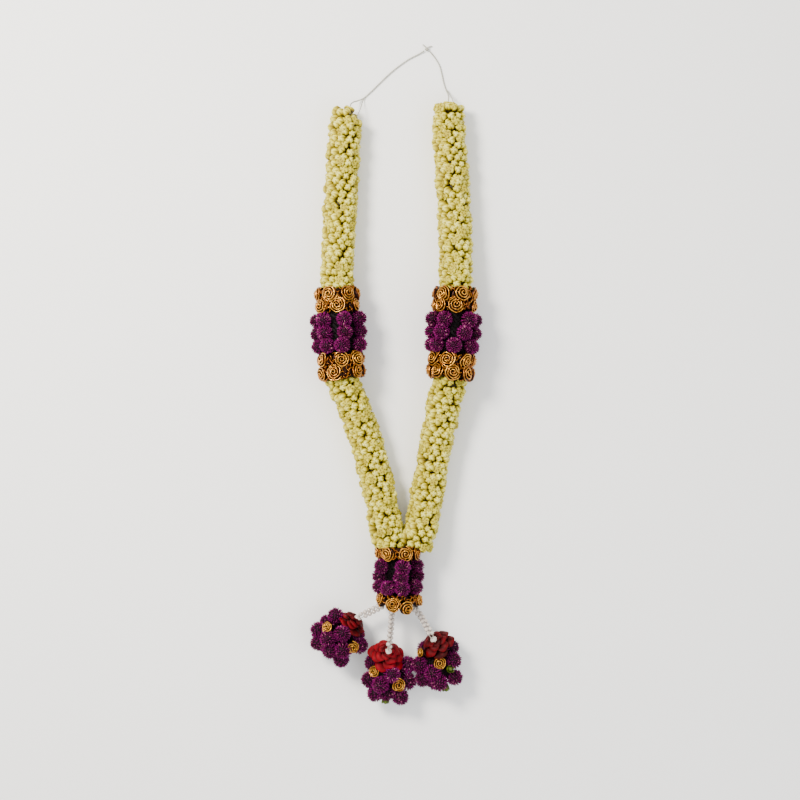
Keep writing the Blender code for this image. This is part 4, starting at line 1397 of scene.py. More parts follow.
BUNCH_PLANS: dict[Side, BunchPlan] = {
    Side.LEFT: BunchPlan(
        centre=(-84.4, -341.1, 28.5),
        reach=(28.0, 25.0, 19.5),
        rose=((20.0, 22.0, 1.0), (0.64, 0.70, 0.30), 22.5),
        heads=(
            (7.0, 11.0, 20.5),
            (26.0, 5.0, -4.0),
            (-27.5, 13.5, 3.0),
            (-27.8, -4.5, 3.0),
            (-13.5, 3.0, 17.0),
            (-3.5, 34.0, 4.0),
            (-10.5, -14.0, 14.0),
            (4.5, -27.5, 5.0),
            (30.5, -8.5, 0.0),
            (-15.5, 23.0, -2.0),
            (-17.0, 12.0, -14.5),
            (4.0, 14.0, -19.0),
            (-14.0, -13.0, -15.5),
            (12.0, -12.0, -19.5),
        ),
        rosettes=(
            ((-14.3, 18.7, 14.0), (-0.42, 0.30, 0.86), 0.80),
            ((20.5, -9.0, 14.5), (0.30, -0.25, 0.92), 0.92),
        ),
        greens=(),
        strand_roll=15.0,
        strand=(
            (-5.8, -276.6, 34.0),
            (-12.5, -284.0, 34.0),
            (-24.0, -293.5, 33.0),
            (-39.0, -301.0, 33.0),
        ),
    ),
    Side.MIDDLE: BunchPlan(
        centre=(-12.9, -395.4, 28.5),
        reach=(27.0, 25.0, 19.5),
        rose=((-1.6, 31.5, 9.0), (0.17, 0.62, 0.77), 24.5),
        heads=(
            (-10.5, -8.0, 17.0),
            (-26.5, -3.0, 2.0),
            (-18.5, -23.0, 3.0),
            (17.5, -27.0, 5.0),
            (28.0, 18.0, 0.5),
            (28.0, -5.5, 0.5),
            (-2.0, -21.0, 6.0),
            (-15.0, 6.0, -18.0),
            (11.0, 10.0, -19.5),
            (1.0, -13.0, -19.5),
            (-22.0, 20.0, -4.0),
        ),
        rosettes=(
            ((-18.5, 8.6, 7.6), (-0.55, 0.15, 0.82), 0.88),
            ((14.0, -8.2, 14.8), (0.20, -0.12, 0.97), 1.0),
        ),
        greens=(((-3.5, -32.0, 3.0), (-0.10, -0.97, 0.20), 0.9),),
        strand_roll=55.0,
        strand=(
            (1.0, -276.2, 33.5),
            (-3.0, -286.0, 33.5),
            (-7.0, -300.0, 33.0),
            (-8.5, -322.0, 36.0),
        ),
    ),
    Side.RIGHT: BunchPlan(
        centre=(57.2, -379.7, 28.5),
        reach=(25.0, 24.0, 19.5),
        rose=((1.0, 32.5, 8.0), (-0.46, 0.62, 0.64), 23.0),
        heads=(
            (-25.0, 3.0, 6.0),
            (-20.0, -17.5, 3.0),
            (3.5, -21.5, 11.0),
            (23.5, 9.5, 8.0),
            (25.5, -15.5, 2.0),
            (-14.0, 8.0, -16.5),
            (11.0, 8.0, -19.5),
            (0.0, -13.0, -19.5),
            (20.0, 26.0, -6.0),
            (-16.0, 24.0, -8.0),
            (-6.0, -7.0, 13.0),
        ),
        rosettes=(
            ((-22.5, 20.5, 9.0), (-0.80, 0.15, 0.58), 0.70),
            ((3.0, 7.5, 17.5), (0.05, -0.08, 1.0), 0.92),
        ),
        greens=(
            ((17.8, -1.6, 14.2), (0.45, 0.05, 0.90), 0.88),
            ((12.5, -29.0, 8.0), (0.15, -0.97, 0.20), 0.9),
        ),
        strand_roll=40.0,
        strand=(
            (8.5, -276.2, 34.0),
            (16.0, -285.0, 34.0),
            (25.0, -296.0, 33.0),
            (36.0, -310.0, 35.0),
        ),
    ),
}


# Sub-assemblies


@dataclass
class Workshop:
    """Every flower shape and every finish, each made once and shared."""

    flowers: dict[Flower, list[Part]] = field(
        default_factory=lambda: {
            Flower.ROSETTE: [
                RibbonRosette(seed=2).part(),
                RibbonRosette(seed=4, turns=3.0, corners=4, folded=0.5).part(),
                RibbonRosette(seed=9, turns=3.6, height=8.0 * MM).part(),
                RibbonRosette(seed=12, turns=3.0, corners=6, radius=11.8 * MM).part(),
            ],
            Flower.AMARANTH: [AmaranthHead(seed=seed).part() for seed in (1, 2, 3)],
        }
    )
    materials: dict[str, bpy.types.Material] = field(
        default_factory=lambda: {finish.name: finish.build() for finish in FINISHES}
    )

    def finish(self, finish: Finish) -> bpy.types.Material:
        """Give the material of a finish."""
        return self.materials[finish.name]


@dataclass
class Neck:
    """The two plied neck threads, the short legs that tie them to the ropes, and their knot.

    Each of the knot's loops is given by the angle that it stands at and by how flat it is.
    """

    ply_radius: float = 0.60 * MM
    ply_offset: float = 0.50 * MM
    ply_columns: int = 8
    ply_step: float = 0.8 * MM
    lay_length: float = 5.2 * MM
    loops: tuple[tuple[float, float], ...] = ((0.15, 1.0), (1.15, 0.85), (2.2, 0.85))
    loop_reach: float = 2.3 * MM
    loop_height: float = 2.0 * MM
    knot_offset: float = 0.35 * MM
    knot_step: float = 0.7 * MM
    tails: tuple[tuple[Triple, ...], ...] = (
        ((0.0, 1.0, 0.5), (3.0, 3.4, -1.4), (7.5, 4.6, -2.2)),
        ((0.0, 1.0, 0.5), (-2.4, 3.8, -1.4), (-5.6, 7.0, -2.2)),
    )
    legs: dict[Side, tuple[Triple, ...]] = field(
        default_factory=lambda: {
            Side.LEFT: (
                (-57.4, 407.0, 27.0),
                (-55.6, 413.5, 24.0),
                (-53.4, 420.5, 17.0),
                (-51.4, 428.0, 9.0),
                (-49.4, 436.0, 3.2),
                (-46.6, 441.4, 2.2),
            ),
            Side.RIGHT: (
                (80.4, 429.6, 27.0),
                (79.6, 434.6, 21.0),
                (78.0, 440.4, 12.0),
                (75.6, 446.6, 4.6),
                (72.6, 451.6, 2.4),
            ),
        }
    )

    def plied(self, line: Line, plies: int, offset: float) -> Part:
        """Twist a thread along a line.

        Args:
            line: the line down the thread's middle.
            plies: how many plies it has.
            offset: how far each ply's middle is from the thread's middle.

        Returns:
            The thread.
        """
        distances = np.linspace(0.0, line.length, max(8, round(line.length / self.ply_step)))
        centres, _, side, up = line.frames(distances, THREAD_REACH)
        turn = turns_of(self.ply_columns)
        parts = []
        for ply in range(plies):
            twist = distances / self.lay_length * math.tau + math.tau * ply / plies
            outwards = side * np.cos(twist)[:, None] + up * np.sin(twist)[:, None]
            middle = centres + outwards * offset
            rings = ringed(middle, side, up, self.ply_radius, self.ply_columns)
            light = 0.65 + 0.35 * np.cos(turn[None] - twist[:, None])
            parts.append(lathed(rings, light[:, ::-1]))
        return Part.joined(parts)

    def knot_part(self) -> Part:
        """Wind the overhand knot that joins the two threads.

        Returns:
            Three crossing loops of thread with two short tails.
        """
        centre = metres(NECK_KNOT_AT)
        turn = np.linspace(0.0, math.tau, 25)
        routes = [
            spun(self.loop_reach * np.cos(turn), tilt, self.loop_height * np.sin(turn) * flatness)
            for tilt, flatness in self.loops
        ]
        routes += [metres(tail) for tail in self.tails]
        return Part.joined(
            [self.plied(Line(centre + way, self.knot_step), 2, self.knot_offset) for way in routes]
        )

    def build(self, material: bpy.types.Material) -> list[bpy.types.Object]:
        """Args:
            material: the thread's finish.

        Returns:
            Every piece of the neck.
        """
        knot = Sewing([self.knot_part()]).piece("neck_thread_knot", material)
        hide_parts("neck_knot")
        made = [knot]
        for side, route in NECK_ROUTES.items():
            line = Line(metres(route))
            twisted = Sewing([self.plied(line, 2, self.ply_offset)])
            thread = twisted.piece(f"plied_neck_thread_{side.value}", material)
            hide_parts(f"neck_thread_{side.value}")
            single = Sewing([self.plied(Line(metres(self.legs[side])), 1, 0.0)])
            leg = single.piece(f"thread_leg_{side.value}", material)
            inside = (line.distances >= 0.0) & (line.distances <= line.length)
            tuple(metres(route[0]))
            [tuple(point) for point in line.points[inside]]
            made += [thread, leg]
        return made


@dataclass(frozen=True)
class BudRope:
    """One rope of tied jasmine buds, sewn in staggered rows round its core, all leaning one way.

    A free end is rounded off, with a fan of buds to close it and small buds round the cord.
    """

    side: Side
    free_end: bool
    row_step: float = 9.0 * MM
    row_buds: int = 12
    row_margin: float = 4.0 * MM
    foot_radius: float = 9.4 * MM
    swirl: float = 0.85
    broad_side: float = 0.08
    left_reach: float = -1.2 * MM
    right_reach: float = 2.0 * MM
    end_bare: float = 8.0 * MM
    end_rounding: float = 18.0 * MM
    end_slant: float = 0.0
    fan_buds: int = 6
    fan_radius: float = 5.4 * MM
    fan_depth: float = 18.0 * MM
    fan_middle_depth: float = 15.5 * MM
    cord_buds: int = 5
    cord_bud_radius: float = 3.6 * MM
    cord_bud_depth: float = 8.5 * MM
    end_gap: float = 2.0 * MM
    joint_slant: float = 0.0
    joint_depth: float = 60.0 * MM
    core_radius: float = 13.5 * MM
    # The rope's core is dark olive: painted shade between the buds.
    core_shade_tip: float = 0.18
    free_core_start: float = 15.0 * MM
    joined_core_start: float = 1.0 * MM
    parting_x: float = 10.0 * MM
    parting_overlap: float = 4.0 * MM
    shapes: tuple[JasmineBud, ...] = (
        JasmineBud(),
        JasmineBud(petals=5, petal_columns=3, fold=0.32, twist=1.1, length=15.8 * MM),
        JasmineBud(openness=0.45, fold=0.36),
        JasmineBud(petals=3, petal_columns=5, fold=0.34, twist=0.5, length=17.0 * MM),
        JasmineBud(petals=5, petal_columns=3, openness=0.85, fold=0.38, twist=1.2),
    )
    shape_shares: tuple[float, ...] = (0.30, 0.24, 0.20, 0.16, 0.10)

    def rows(
        self, draw: np.random.Generator, line: Line, span: tuple[float, float]
    ) -> Iterator[Bud]:
        """Place the buds of the staggered rows.

        Args:
            draw: where their unevenness comes from.
            line: the line that the rope is tied along.
            span: the distances where it starts and ends.

        Yields:
            Each bud's foot, direction and size.
        """
        start, end = span
        inwards = -1.0 if self.side is Side.RIGHT else 1.0
        count = round((end - start - self.row_margin) / self.row_step)
        sewn = end - start - self.row_margin - self.end_gap
        for row in range(count + 1):
            nominal = start + self.row_margin + sewn * row / count
            for column in range(self.row_buds):
                distance = nominal + draw.uniform(-1.6, 1.6) * MM
                angle = math.tau * (column + 0.5 * (row % 2)) / self.row_buds
                angle += draw.uniform(-0.10, 0.10)
                leftness = math.cos(angle)
                near_end = max(0.0, 1.0 - (end - distance) / self.joint_depth)
                outer = leftness * inwards
                distance -= self.joint_slant * outer * near_end
                centre, along, outwards = line.spokes(distance, angle)
                lean = draw.uniform(-0.20, 0.20)
                foot = self.foot_radius + draw.uniform(-1.3, 1.0) * MM
                foot += self.left_reach * max(0.0, leftness)
                foot += self.right_reach * max(0.0, -leftness)
                inside = distance - start - self.end_slant * max(0.0, -leftness)
                if self.free_end and inside < self.end_bare:
                    continue
                if self.free_end and inside < self.end_rounding:
                    depth = 1.0 - inside / self.end_rounding
                    lean -= 1.1 * depth
                    foot *= 1.0 - 0.5 * depth * depth
                round_it = np.cross(along, outwards) * (self.swirl + draw.uniform(-0.16, 0.16))
                place = centre + outwards * foot
                if (place[0] - self.parting_x) * inwards > self.parting_overlap:
                    continue
                size = draw.uniform(0.90, 1.10) * (1.0 + self.broad_side * leftness)
                yield place, outwards + along * lean + round_it, size

    def closing(self, draw: np.random.Generator, line: Line, start: float) -> Iterator[Bud]:
        """Place the fan of buds that closes the free end, and the small buds round the cord.

        Args:
            draw: where their unevenness comes from.
            line: the line that the rope is tied along.
            start: the distance where it starts.

        Yields:
            Each bud's foot, direction and size.
        """
        for column in range(self.fan_buds + 1):
            in_ring = column < self.fan_buds
            angle = math.tau * column / self.fan_buds + 0.4
            late = self.end_slant * max(0.0, -math.cos(angle)) if in_ring else 0.0
            depth = self.fan_depth if in_ring else self.fan_middle_depth
            centre, along, outwards = line.spokes(start + depth + late, angle)
            place = centre + outwards * (self.fan_radius if in_ring else 0.0)
            direction = -along + outwards * (0.5 if in_ring else 0.0)
            yield place, direction, draw.uniform(0.92, 1.02)
        for column in range(self.cord_buds):
            angle = math.tau * column / self.cord_buds + 1.0
            centre, along, outwards = line.spokes(start + self.cord_bud_depth, angle)
            place = centre + outwards * self.cord_bud_radius
            yield place, -along + outwards * 0.10, draw.uniform(0.60, 0.68)

    def build(
        self,
        name: str,
        line: Line,
        span: tuple[float, float],
        material: bpy.types.Material,
        seed: int,
    ) -> bpy.types.Object:
        """Tie the buds on.

        Args:
            name: the piece's name.
            line: the line that the rope is tied along.
            span: the distances where it starts and ends.
            material: the petal's finish.
            seed: the number that its unevenness comes from.

        Returns:
            The rope.
        """
        draw = np.random.default_rng(seed)
        start, end = span
        if self.free_end:
            core_start = start + (self.free_core_start + self.end_slant)
        else:
            core_start = start + self.joined_core_start
        core = padded_core(line, (core_start, end), self.core_radius, self.core_shade_tip, seed)
        sewing = Sewing([core])
        buds = list(self.rows(draw, line, span))
        if self.free_end:
            buds += self.closing(draw, line, start)
        places, directions, sizes = (np.array(values) for values in zip(*buds))
        kinds = draw.choice(len(self.shapes), len(buds), p=self.shape_shares)
        turns = turned(directions, draw.uniform(0.0, math.tau, len(buds)), sizes)
        tones = draw.uniform(-0.6, 1.0, len(buds))
        for kind, shape in enumerate(self.shapes):
            chosen = kinds == kind
            sewing.stamp(shape.part(), places[chosen], turns[chosen], tones[chosen])
        return sewing.piece(name, material)


@dataclass(frozen=True)
class Trimming:
    """How one kind of flower is sewn on: its finish, what is tucked between, and its core."""

    finish: Finish
    filler: RibbonFold | BractTuft
    filler_spacing: float
    core_depth: float
    # core_shade_tip: how dark the core is, as painted shade between the flowers.
    core_shade_tip: float
    tilt: float


TRIMMINGS: dict[Flower, Trimming] = {
    Flower.ROSETTE: Trimming(
        finish=ROLLED_ZARI,
        filler=RibbonFold(),
        filler_spacing=5.2 * MM,
        core_depth=1.6 * MM,
        core_shade_tip=0.15,
        tilt=0.26,
    ),
    Flower.AMARANTH: Trimming(
        finish=AMARANTH_BRACT,
        filler=BractTuft(),
        filler_spacing=4.6 * MM,
        core_depth=7.0 * MM,
        core_shade_tip=0.03,
        tilt=0.16,
    ),
}


@dataclass(frozen=True)
class FlowerBand:
    """One sleeve of rosettes or of amaranth heads, sewn round a padded core."""

    label: str
    flower: Flower
    ring_radius: float
    length: float
    sizes: tuple[float, float] = (0.97, 1.05)

    def places(
        self, rows: tuple[FlowerRow, ...], span: tuple[float, float]
    ) -> list[tuple[float, float]]:
        """Turn rows of flowers into distances along the line and angles round it."""
        low, high = span
        return [(low + (high - low) * share, angle) for share, angles in rows for angle in angles]

    def build(
        self,
        name: str,
        workshop: Workshop,
        line: Line,
        span: tuple[float, float],
        places: list[tuple[float, float]],
        seed: int,
    ) -> bpy.types.Object:
        """Sew the flowers on.

        Args:
            name: the piece's name.
            workshop: where the flowers and finishes come from.
            line: the line down the band's middle.
            span: the distances where its core starts and ends.
            places: each flower's distance along the line and angle round it in degrees.
            seed: the number that their unevenness comes from.

        Returns:
            The band.
        """
        draw = np.random.default_rng(seed)
        trim = TRIMMINGS[self.flower]
        core_radius = self.ring_radius - trim.core_depth
        sewing = Sewing([padded_core(line, span, core_radius, trim.core_shade_tip, seed)])
        length = span[1] - span[0]
        count = round(length * math.tau * core_radius / trim.filler_spacing**2)
        distances = span[0] + length * (np.arange(count) + 0.5) / count
        centres, along, outwards = line.spokes(distances, np.arange(count) * GOLDEN_ANGLE)
        leans = along * draw.uniform(-0.3, 0.3, (count, 1))
        spins = draw.uniform(0.0, math.tau, count)
        turns = turned(outwards + leans, spins, draw.uniform(0.8, 1.15, count))
        # Fillers take mostly darker tones: painted shade between the flowers.
        feet, tones = centres + outwards * core_radius, draw.uniform(-1.0, 0.4, count)
        sewing.stamp(trim.filler.part(), feet, turns, tones)
        flowers = workshop.flowers[self.flower]
        for distance, degrees in places:
            centre, along, outwards = line.spokes(distance, math.pi - math.radians(degrees))
            lean, roll = trim.tilt * draw.uniform(-1.0, 1.0, 2)
            direction = outwards + along * lean + np.cross(along, outwards) * roll
            turn = turned(direction, draw.uniform(0.0, math.tau), draw.uniform(*self.sizes))
            flower = flowers[int(draw.integers(len(flowers)))]
            place = centre + outwards * self.ring_radius
            sewing.stamp(flower, place, turn, draw.uniform(-0.5, 0.5))
        return sewing.piece(name, workshop.finish(trim.finish))


@dataclass
class Ropes:
    """The jasmine ropes and collars of both sides."""

    workshop: Workshop
    rope_start: float = 1.0 * MM
    collar_top_y: float = 161.0 * MM
    band_gap: float = 0.15 * MM
    bands: tuple[FlowerBand, ...] = (
        FlowerBand("gold_top", Flower.ROSETTE, 24.8 * MM, 33.0 * MM, (1.04, 1.12)),
        FlowerBand("amaranth", Flower.AMARANTH, 30.0 * MM, 60.0 * MM),
        FlowerBand("gold_bottom", Flower.ROSETTE, 27.3 * MM, 35.0 * MM, (1.04, 1.12)),
    )
    pendant_top_y: float = -207.5 * MM
    pendant_overlap: float = 2.0 * MM
    top_slants: dict[Side, float] = field(
        default_factory=lambda: {Side.LEFT: 10.0 * MM, Side.RIGHT: 0.0}
    )
    joint_gaps: dict[Side, float] = field(
        default_factory=lambda: {Side.LEFT: 5.0 * MM, Side.RIGHT: 6.0 * MM}
    )
    joint_slants: dict[Side, float] = field(
        default_factory=lambda: {Side.LEFT: 3.0 * MM, Side.RIGHT: 6.5 * MM}
    )

    def build(self) -> list[bpy.types.Object]:
        """Make the ropes and collars.

        Returns:
            Every piece, rope and collar by side.
        """
        made = []
        petal = self.workshop.finish(JASMINE_PETAL)
        for number, (side, corners) in enumerate(SIDE_LINES.items()):
            line = Line(metres(corners))
            start = line.distance_at_y(self.collar_top_y)
            end = start + sum(band.length for band in self.bands)
            last = line.distance_at_y(self.pendant_top_y) + self.pendant_overlap
            upper = BudRope(side, True, end_slant=self.top_slants[side])
            gap, slant = self.joint_gaps[side], self.joint_slants[side]
            lower = BudRope(side, False, end_gap=gap, joint_slant=slant)
            for level, rope, span in (
                ("upper", upper, (self.rope_start, start)),
                ("lower", lower, (end, last)),
            ):
                name = f"jasmine_buds_{level}_{side.value}"
                seed = 30 + 7 * number + (1 if rope.free_end else 0)
                piece = rope.build(name, line, span, petal, seed)
                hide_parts(f"jasmine_rope_{level}_{side.value}")
                made.append(piece)
            made += self.collar(side, line, start)
        return made

    def collar(self, side: Side, line: Line, start: float) -> list[bpy.types.Object]:
        """Make one collar.

        Args:
            side: the side that it is on.
            line: the line that the side is tied along.
            start: the distance where the collar starts.

        Returns:
            Its three bands.
        """
        made = []
        for number, band in enumerate(self.bands):
            span = (start + self.band_gap, start + band.length - self.band_gap)
            places = band.places(COLLAR_FLOWERS[side][band.label], span)
            what = band.label if band.flower is Flower.ROSETTE else "heads"
            name = f"{band.flower.value}_{what}_{side.value}"
            seed = 50 + 5 * number + (20 if side is Side.RIGHT else 0)
            piece = band.build(name, self.workshop, line, span, places, seed)
            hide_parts(f"collar_{side.value}_{band.label}")
            made.append(piece)
            start += band.length
        return made


@dataclass
class Pendant:
    """The pendant where the two sides meet: rosettes, heads and a drooping ring of rosettes."""

    workshop: Workshop
    top: Triple = (2.0, -207.5, 34.5)
    band_gap: float = 0.15 * MM
    upper: FlowerBand = FlowerBand("gold_top", Flower.ROSETTE, 26.5 * MM, 16.5 * MM)
    heads: FlowerBand = FlowerBand("amaranth", Flower.AMARANTH, 26.0 * MM, 51.5 * MM)
    lower: FlowerBand = FlowerBand("gold_bottom", Flower.ROSETTE, 26.5 * MM, 13.5 * MM)
    lower_core: float = 0.8
    first_seed: int = 91

    def build(self) -> list[bpy.types.Object]:
        """Make the pendant.

        Returns:
            Its three bands.
        """
        top = metres(self.top)
        down = np.array([0.0, -1.0, 0.0])
        axis = Line(np.array([top, top + down * 0.05, top + down * 0.10]))
        middle = self.upper.length
        end = middle + self.heads.length
        above = (self.band_gap, middle - self.band_gap)
        between = (middle, end)
        below = (end, end + self.lower.length * self.lower_core)
        upper = self.upper.places(PENDANT_FLOWERS[self.upper.label], above)
        heads = self.heads.places(PENDANT_FLOWERS[self.heads.label], between)
        lower = [(end + hang * MM, float(degrees)) for degrees, hang in PENDANT_LOWER_ROSETTES]
        made = []
        for name, band, span, places in (
            ("rosettes_pendant_top", self.upper, above, upper),
            ("amaranth_pendant", self.heads, between, heads),
            ("rosettes_pendant_bottom", self.lower, below, lower),
        ):
            seed = self.first_seed + len(made)
            piece = band.build(name, self.workshop, axis, span, places, seed)
            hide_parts(f"pendant_{band.label}")
            made.append(piece)
        return made


@dataclass
class Bunch:
    """One hanging bunch with its rose, heads, rosettes, greens, end bead and pearl strand."""

    workshop: Workshop
    side: Side
    pearl_radius: float = 2.95 * MM
    pearl_pitch: float = 6.6 * MM
    pearl_swell: float = 1.07
    row_offset: float = 2.8 * MM
    row_parting: float = 6.0 * MM
    thread_radius: float = 0.45 * MM
    thread_step: float = 1.5 * MM
    thread_short: float = 1.0 * MM
    closed_offset: float = 0.85 * MM
    sunk: float = 12.0 * MM
    first_pearl: float = 21.0 * MM
    end_bead: Bead = Bead(radius=5.2 * MM, hole=0.7 * MM, columns=28, rows=19)
    grey_bead: Bead = Bead(radius=2.8 * MM, hole=0.5 * MM, columns=22, rows=15)
    grey_bead_offset: Triple = (4.2, -7.4, 1.4)
    head_spacing: float = 17.0 * MM
    head_sizes: tuple[float, float] = (1.06, 1.15)
    rosette_room: float = 13.0 * MM
    rosette_share: float = 0.94
    green_room: float = 12.0 * MM
    heart_share: float = 0.74
    heart_shade_tip: float = 0.02
    tuft_share: float = 0.73
    tufts: int = 240
    fill_steps: int = 110
    # Painted shade by rose: the middle rose lighter, the left and right roses darker.
    rose_tones: dict[Side, float] = field(
        default_factory=lambda: {Side.LEFT: -0.4, Side.MIDDLE: 0.6, Side.RIGHT: -0.6}
    )
    head_seeds: dict[Side, int] = field(
        default_factory=lambda: {Side.LEFT: 11, Side.MIDDLE: 12, Side.RIGHT: 13}
    )

    @property
    def plan(self) -> BunchPlan:
        """Give the bunch's plan."""
        return BUNCH_PLANS[self.side]

    @property
    def centre(self) -> Array:
        """Give the bunch's middle, in metres."""
        return metres(self.plan.centre)

    def head_places(self) -> Array:
        """Find the middles of the heads: the planned ones, then others over the bare patches.

        Returns:
            Offsets from the bunch's middle, in metres.
        """
        plan = self.plan
        heads = [metres(place) for place in plan.heads]
        taken = [(metres(plan.rose[0]), plan.rose[2] * MM)]
        taken += [(metres(place), self.rosette_room) for place, _, _ in plan.rosettes]
        taken += [(metres(place), self.green_room) for place, _, _ in plan.greens]
        for place in metres(plan.reach) * golden_ball(self.fill_steps):
            crowded = any(np.linalg.norm(place - head) < self.head_spacing for head in heads)
            covered = any(np.linalg.norm(place - middle) < radius for middle, radius in taken)
            if not crowded and not covered:
                heads.append(place)
        return np.array(heads)

    def bead_place(self) -> Array:
        """Find where the strand's end bead sits in the heart of the rose.

        Returns:
            The bead's middle, in metres.
        """
        offset, direction, radius = self.plan.rose
        lift = 0.40 * radius * MM + self.end_bead.radius / 2
        return self.centre + metres(offset) + unit(np.array(direction)) * lift

    def heads(self) -> bpy.types.Object:
        """Sew the heads about a dark heart.

        Returns:
            The heads of the bunch as one piece.
        """
        # The heart and the tufts are coloured near black as painted shade between the heads.
        draw = np.random.default_rng(self.head_seeds[self.side])
        reach, rows, columns = metres(self.plan.reach), 9, 20
        uneven = 1.0 + draw.uniform(-0.05, 0.05, (rows, columns, 1))
        heart = self.centre + self.heart_share * reach * uneven * globe(rows, columns, 0.08)
        sewing = Sewing([lathed(heart, self.heart_shade_tip)])
        spread = golden_ball(self.tufts)
        spins = draw.uniform(0.0, math.tau, self.tufts)
        turns = turned(spread, spins, draw.uniform(0.9, 1.3, self.tufts))
        feet = self.centre + spread * self.tuft_share * reach
        sewing.stamp(BractTuft().part(), feet, turns, draw.uniform(-1.0, 0.4, self.tufts))
        flowers = self.workshop.flowers[Flower.AMARANTH]
        for place in self.head_places():
            turn = turned(place, draw.uniform(0.0, math.tau), draw.uniform(*self.head_sizes))
            head = flowers[int(draw.integers(len(flowers)))]
            sewing.stamp(head, self.centre + place, turn, draw.uniform(-0.5, 0.5))
        name = f"amaranth_bunch_{self.side.value}"
        piece = sewing.piece(name, self.workshop.finish(AMARANTH_BRACT))
        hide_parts(f"amaranth_{self.side.value}")
        return piece

    def small_blooms(self) -> list[bpy.types.Object]:
        """Set the rose, the rosettes and the greens.

        Returns:
            Each as a piece of its own.
        """
        side, tone = self.side.value, self.rose_tones[self.side]
        offset, direction, radius = self.plan.rose
        bloom = RoseBloom(radius=radius * MM, seed=len(side)).part()
        rose = Sewing.of_one(bloom, self.centre + metres(offset), turned(direction, 0.3, 1.0), tone)
        piece = rose.piece(f"red_rose_{side}", self.workshop.finish(ROSE_PETAL))
        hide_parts(f"rose_{side}")
        made = [piece]
        for number, (place, direction, size) in enumerate(self.plan.rosettes):
            part = self.workshop.flowers[Flower.ROSETTE][number]
            turn = turned(direction, 1.0 + number, size * self.rosette_share)
            rosette = Sewing.of_one(part, self.centre + metres(place), turn, 0.4)
            name = f"ribbon_rosette_{side}_{number + 1}"
            piece = rosette.piece(name, self.workshop.finish(ROLLED_ZARI))
            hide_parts(f"gold_rosette_{side}_{number + 1}")
            made.append(piece)
        for number, (place, direction, size) in enumerate(self.plan.greens):
            turn = turned(direction, 0.5, size)
            green = Sewing.of_one(GreenBud().part(), self.centre + metres(place), turn, 0.0)
            name = f"green_bud_{side}_{number + 1}"
            piece = green.piece(name, self.workshop.finish(GREEN_SEPAL))
            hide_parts(f"calyx_{side}_{number + 1}")
            made.append(piece)
        return made

    def row_line(self, strand: Line, sign: float) -> Line:
        """Give the line of one row of pearls.

        Args:
            strand: the line down the middle of the doubled strand.
            sign: which of its two rows.

        Returns:
            The row's own line.
        """
        roll = math.radians(self.plan.strand_roll)
        distances = strand.length * np.arange(13) / 12
        centres, _, side, up = strand.frames(distances, THREAD_REACH)
        spread = np.clip((distances - self.sunk) / self.row_parting, 0.0, 1.0)
        offset = self.closed_offset + (self.row_offset - self.closed_offset) * spread
        across = side * math.cos(roll) + up * math.sin(roll)
        return Line(centres + across * (sign * offset)[:, None])

    def strand(self) -> list[bpy.types.Object]:
        """String the two rows of pearls.

        Returns:
            Each row as a piece of its own.
        """
        inwards = unit(np.array(self.plan.rose[1]))
        arriving = self.bead_place() + inwards * self.end_bead.radius * 0.7
        strand = Line(np.concatenate([metres(self.plan.strand), arriving[None]]))
        bead = Bead(radius=self.pearl_radius * self.pearl_swell).part()
        draw = np.random.default_rng(40 + len(self.side.value))
        made = []
        for number, sign in ((1, 1.0), (2, -1.0)):
            row = self.row_line(strand, sign)
            end = row.length - self.thread_short
            rings = np.linspace(0.0, end, max(2, round(end / self.thread_step)))
            centres, _, side, up = row.frames(rings, THREAD_REACH)
            thread = lathed(ringed(centres, side, up, self.thread_radius, 8), 0.5)
            sewing = Sewing([thread])
            start = self.first_pearl + (number - 1) * self.pearl_pitch / 2
            distances = np.arange(start, row.length - 1.1 * self.pearl_radius, self.pearl_pitch)
            places, along, _, _ = row.frames(distances, THREAD_REACH)
            count = len(distances)
            spins = draw.uniform(0.0, math.tau, count)
            turns = turned(along, spins, draw.uniform(0.97, 1.04, count))
            sewing.stamp(bead, places, turns, draw.uniform(-0.6, 0.6, count))
            name = f"pearls_{self.side.value}_{number}"
            piece = sewing.piece(name, self.workshop.finish(LACQUERED_PEARL))
            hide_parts(f"pearl_row_{self.side.value}_{number}")
            made.append(piece)
        return made

    def beads(self) -> list[bpy.types.Object]:
        """Set the end bead, and the grey bead where the bunch has one.

        Returns:
            Each bead as a piece of its own.
        """
        place, turn = self.bead_place(), turned(self.plan.rose[1], 0.0, 1.0)
        pearl = Sewing.of_one(self.end_bead.part(), place, turn, 1.0)
        name = f"pearl_end_bead_{self.side.value}"
        made = [pearl.piece(name, self.workshop.finish(LACQUERED_PEARL))]
        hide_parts(f"end_bead_{self.side.value}")
        if self.side is Side.RIGHT:
            place = place + metres(self.grey_bead_offset)
            smoky = Sewing.of_one(self.grey_bead.part(), place, turn, 0.0)
            grey = smoky.piece("smoky_bead_right", self.workshop.finish(SMOKY_BEAD))
            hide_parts("grey_bead_right")
            made.append(grey)
        return made

    def build(self) -> list[bpy.types.Object]:
        """Make the whole bunch."""
        return [self.heads(), *self.small_blooms(), *self.strand(), *self.beads()]


# Studio


@dataclass(frozen=True)
class Lamp:
    """One soft lamp: where it hangs, its width in metres, its power in watts and its colour."""

    name: str
    at: Triple
    size: float
    power: float
    colour: str

    def hang(self) -> None:
        """Hang the lamp so that it faces the garland."""
        data = bpy.data.lights.new(self.name, "AREA")
        data.shape = "DISK"
        data.size = self.size
        data.energy = self.power
        data.color = linear(self.colour)[:3]
        lamp = bpy.data.objects.new(self.name, data)
        lamp.location = self.at
        lamp.rotation_euler = (-Vector(self.at)).to_track_quat("-Z", "Y").to_euler()
        bpy.context.scene.collection.objects.link(lamp)


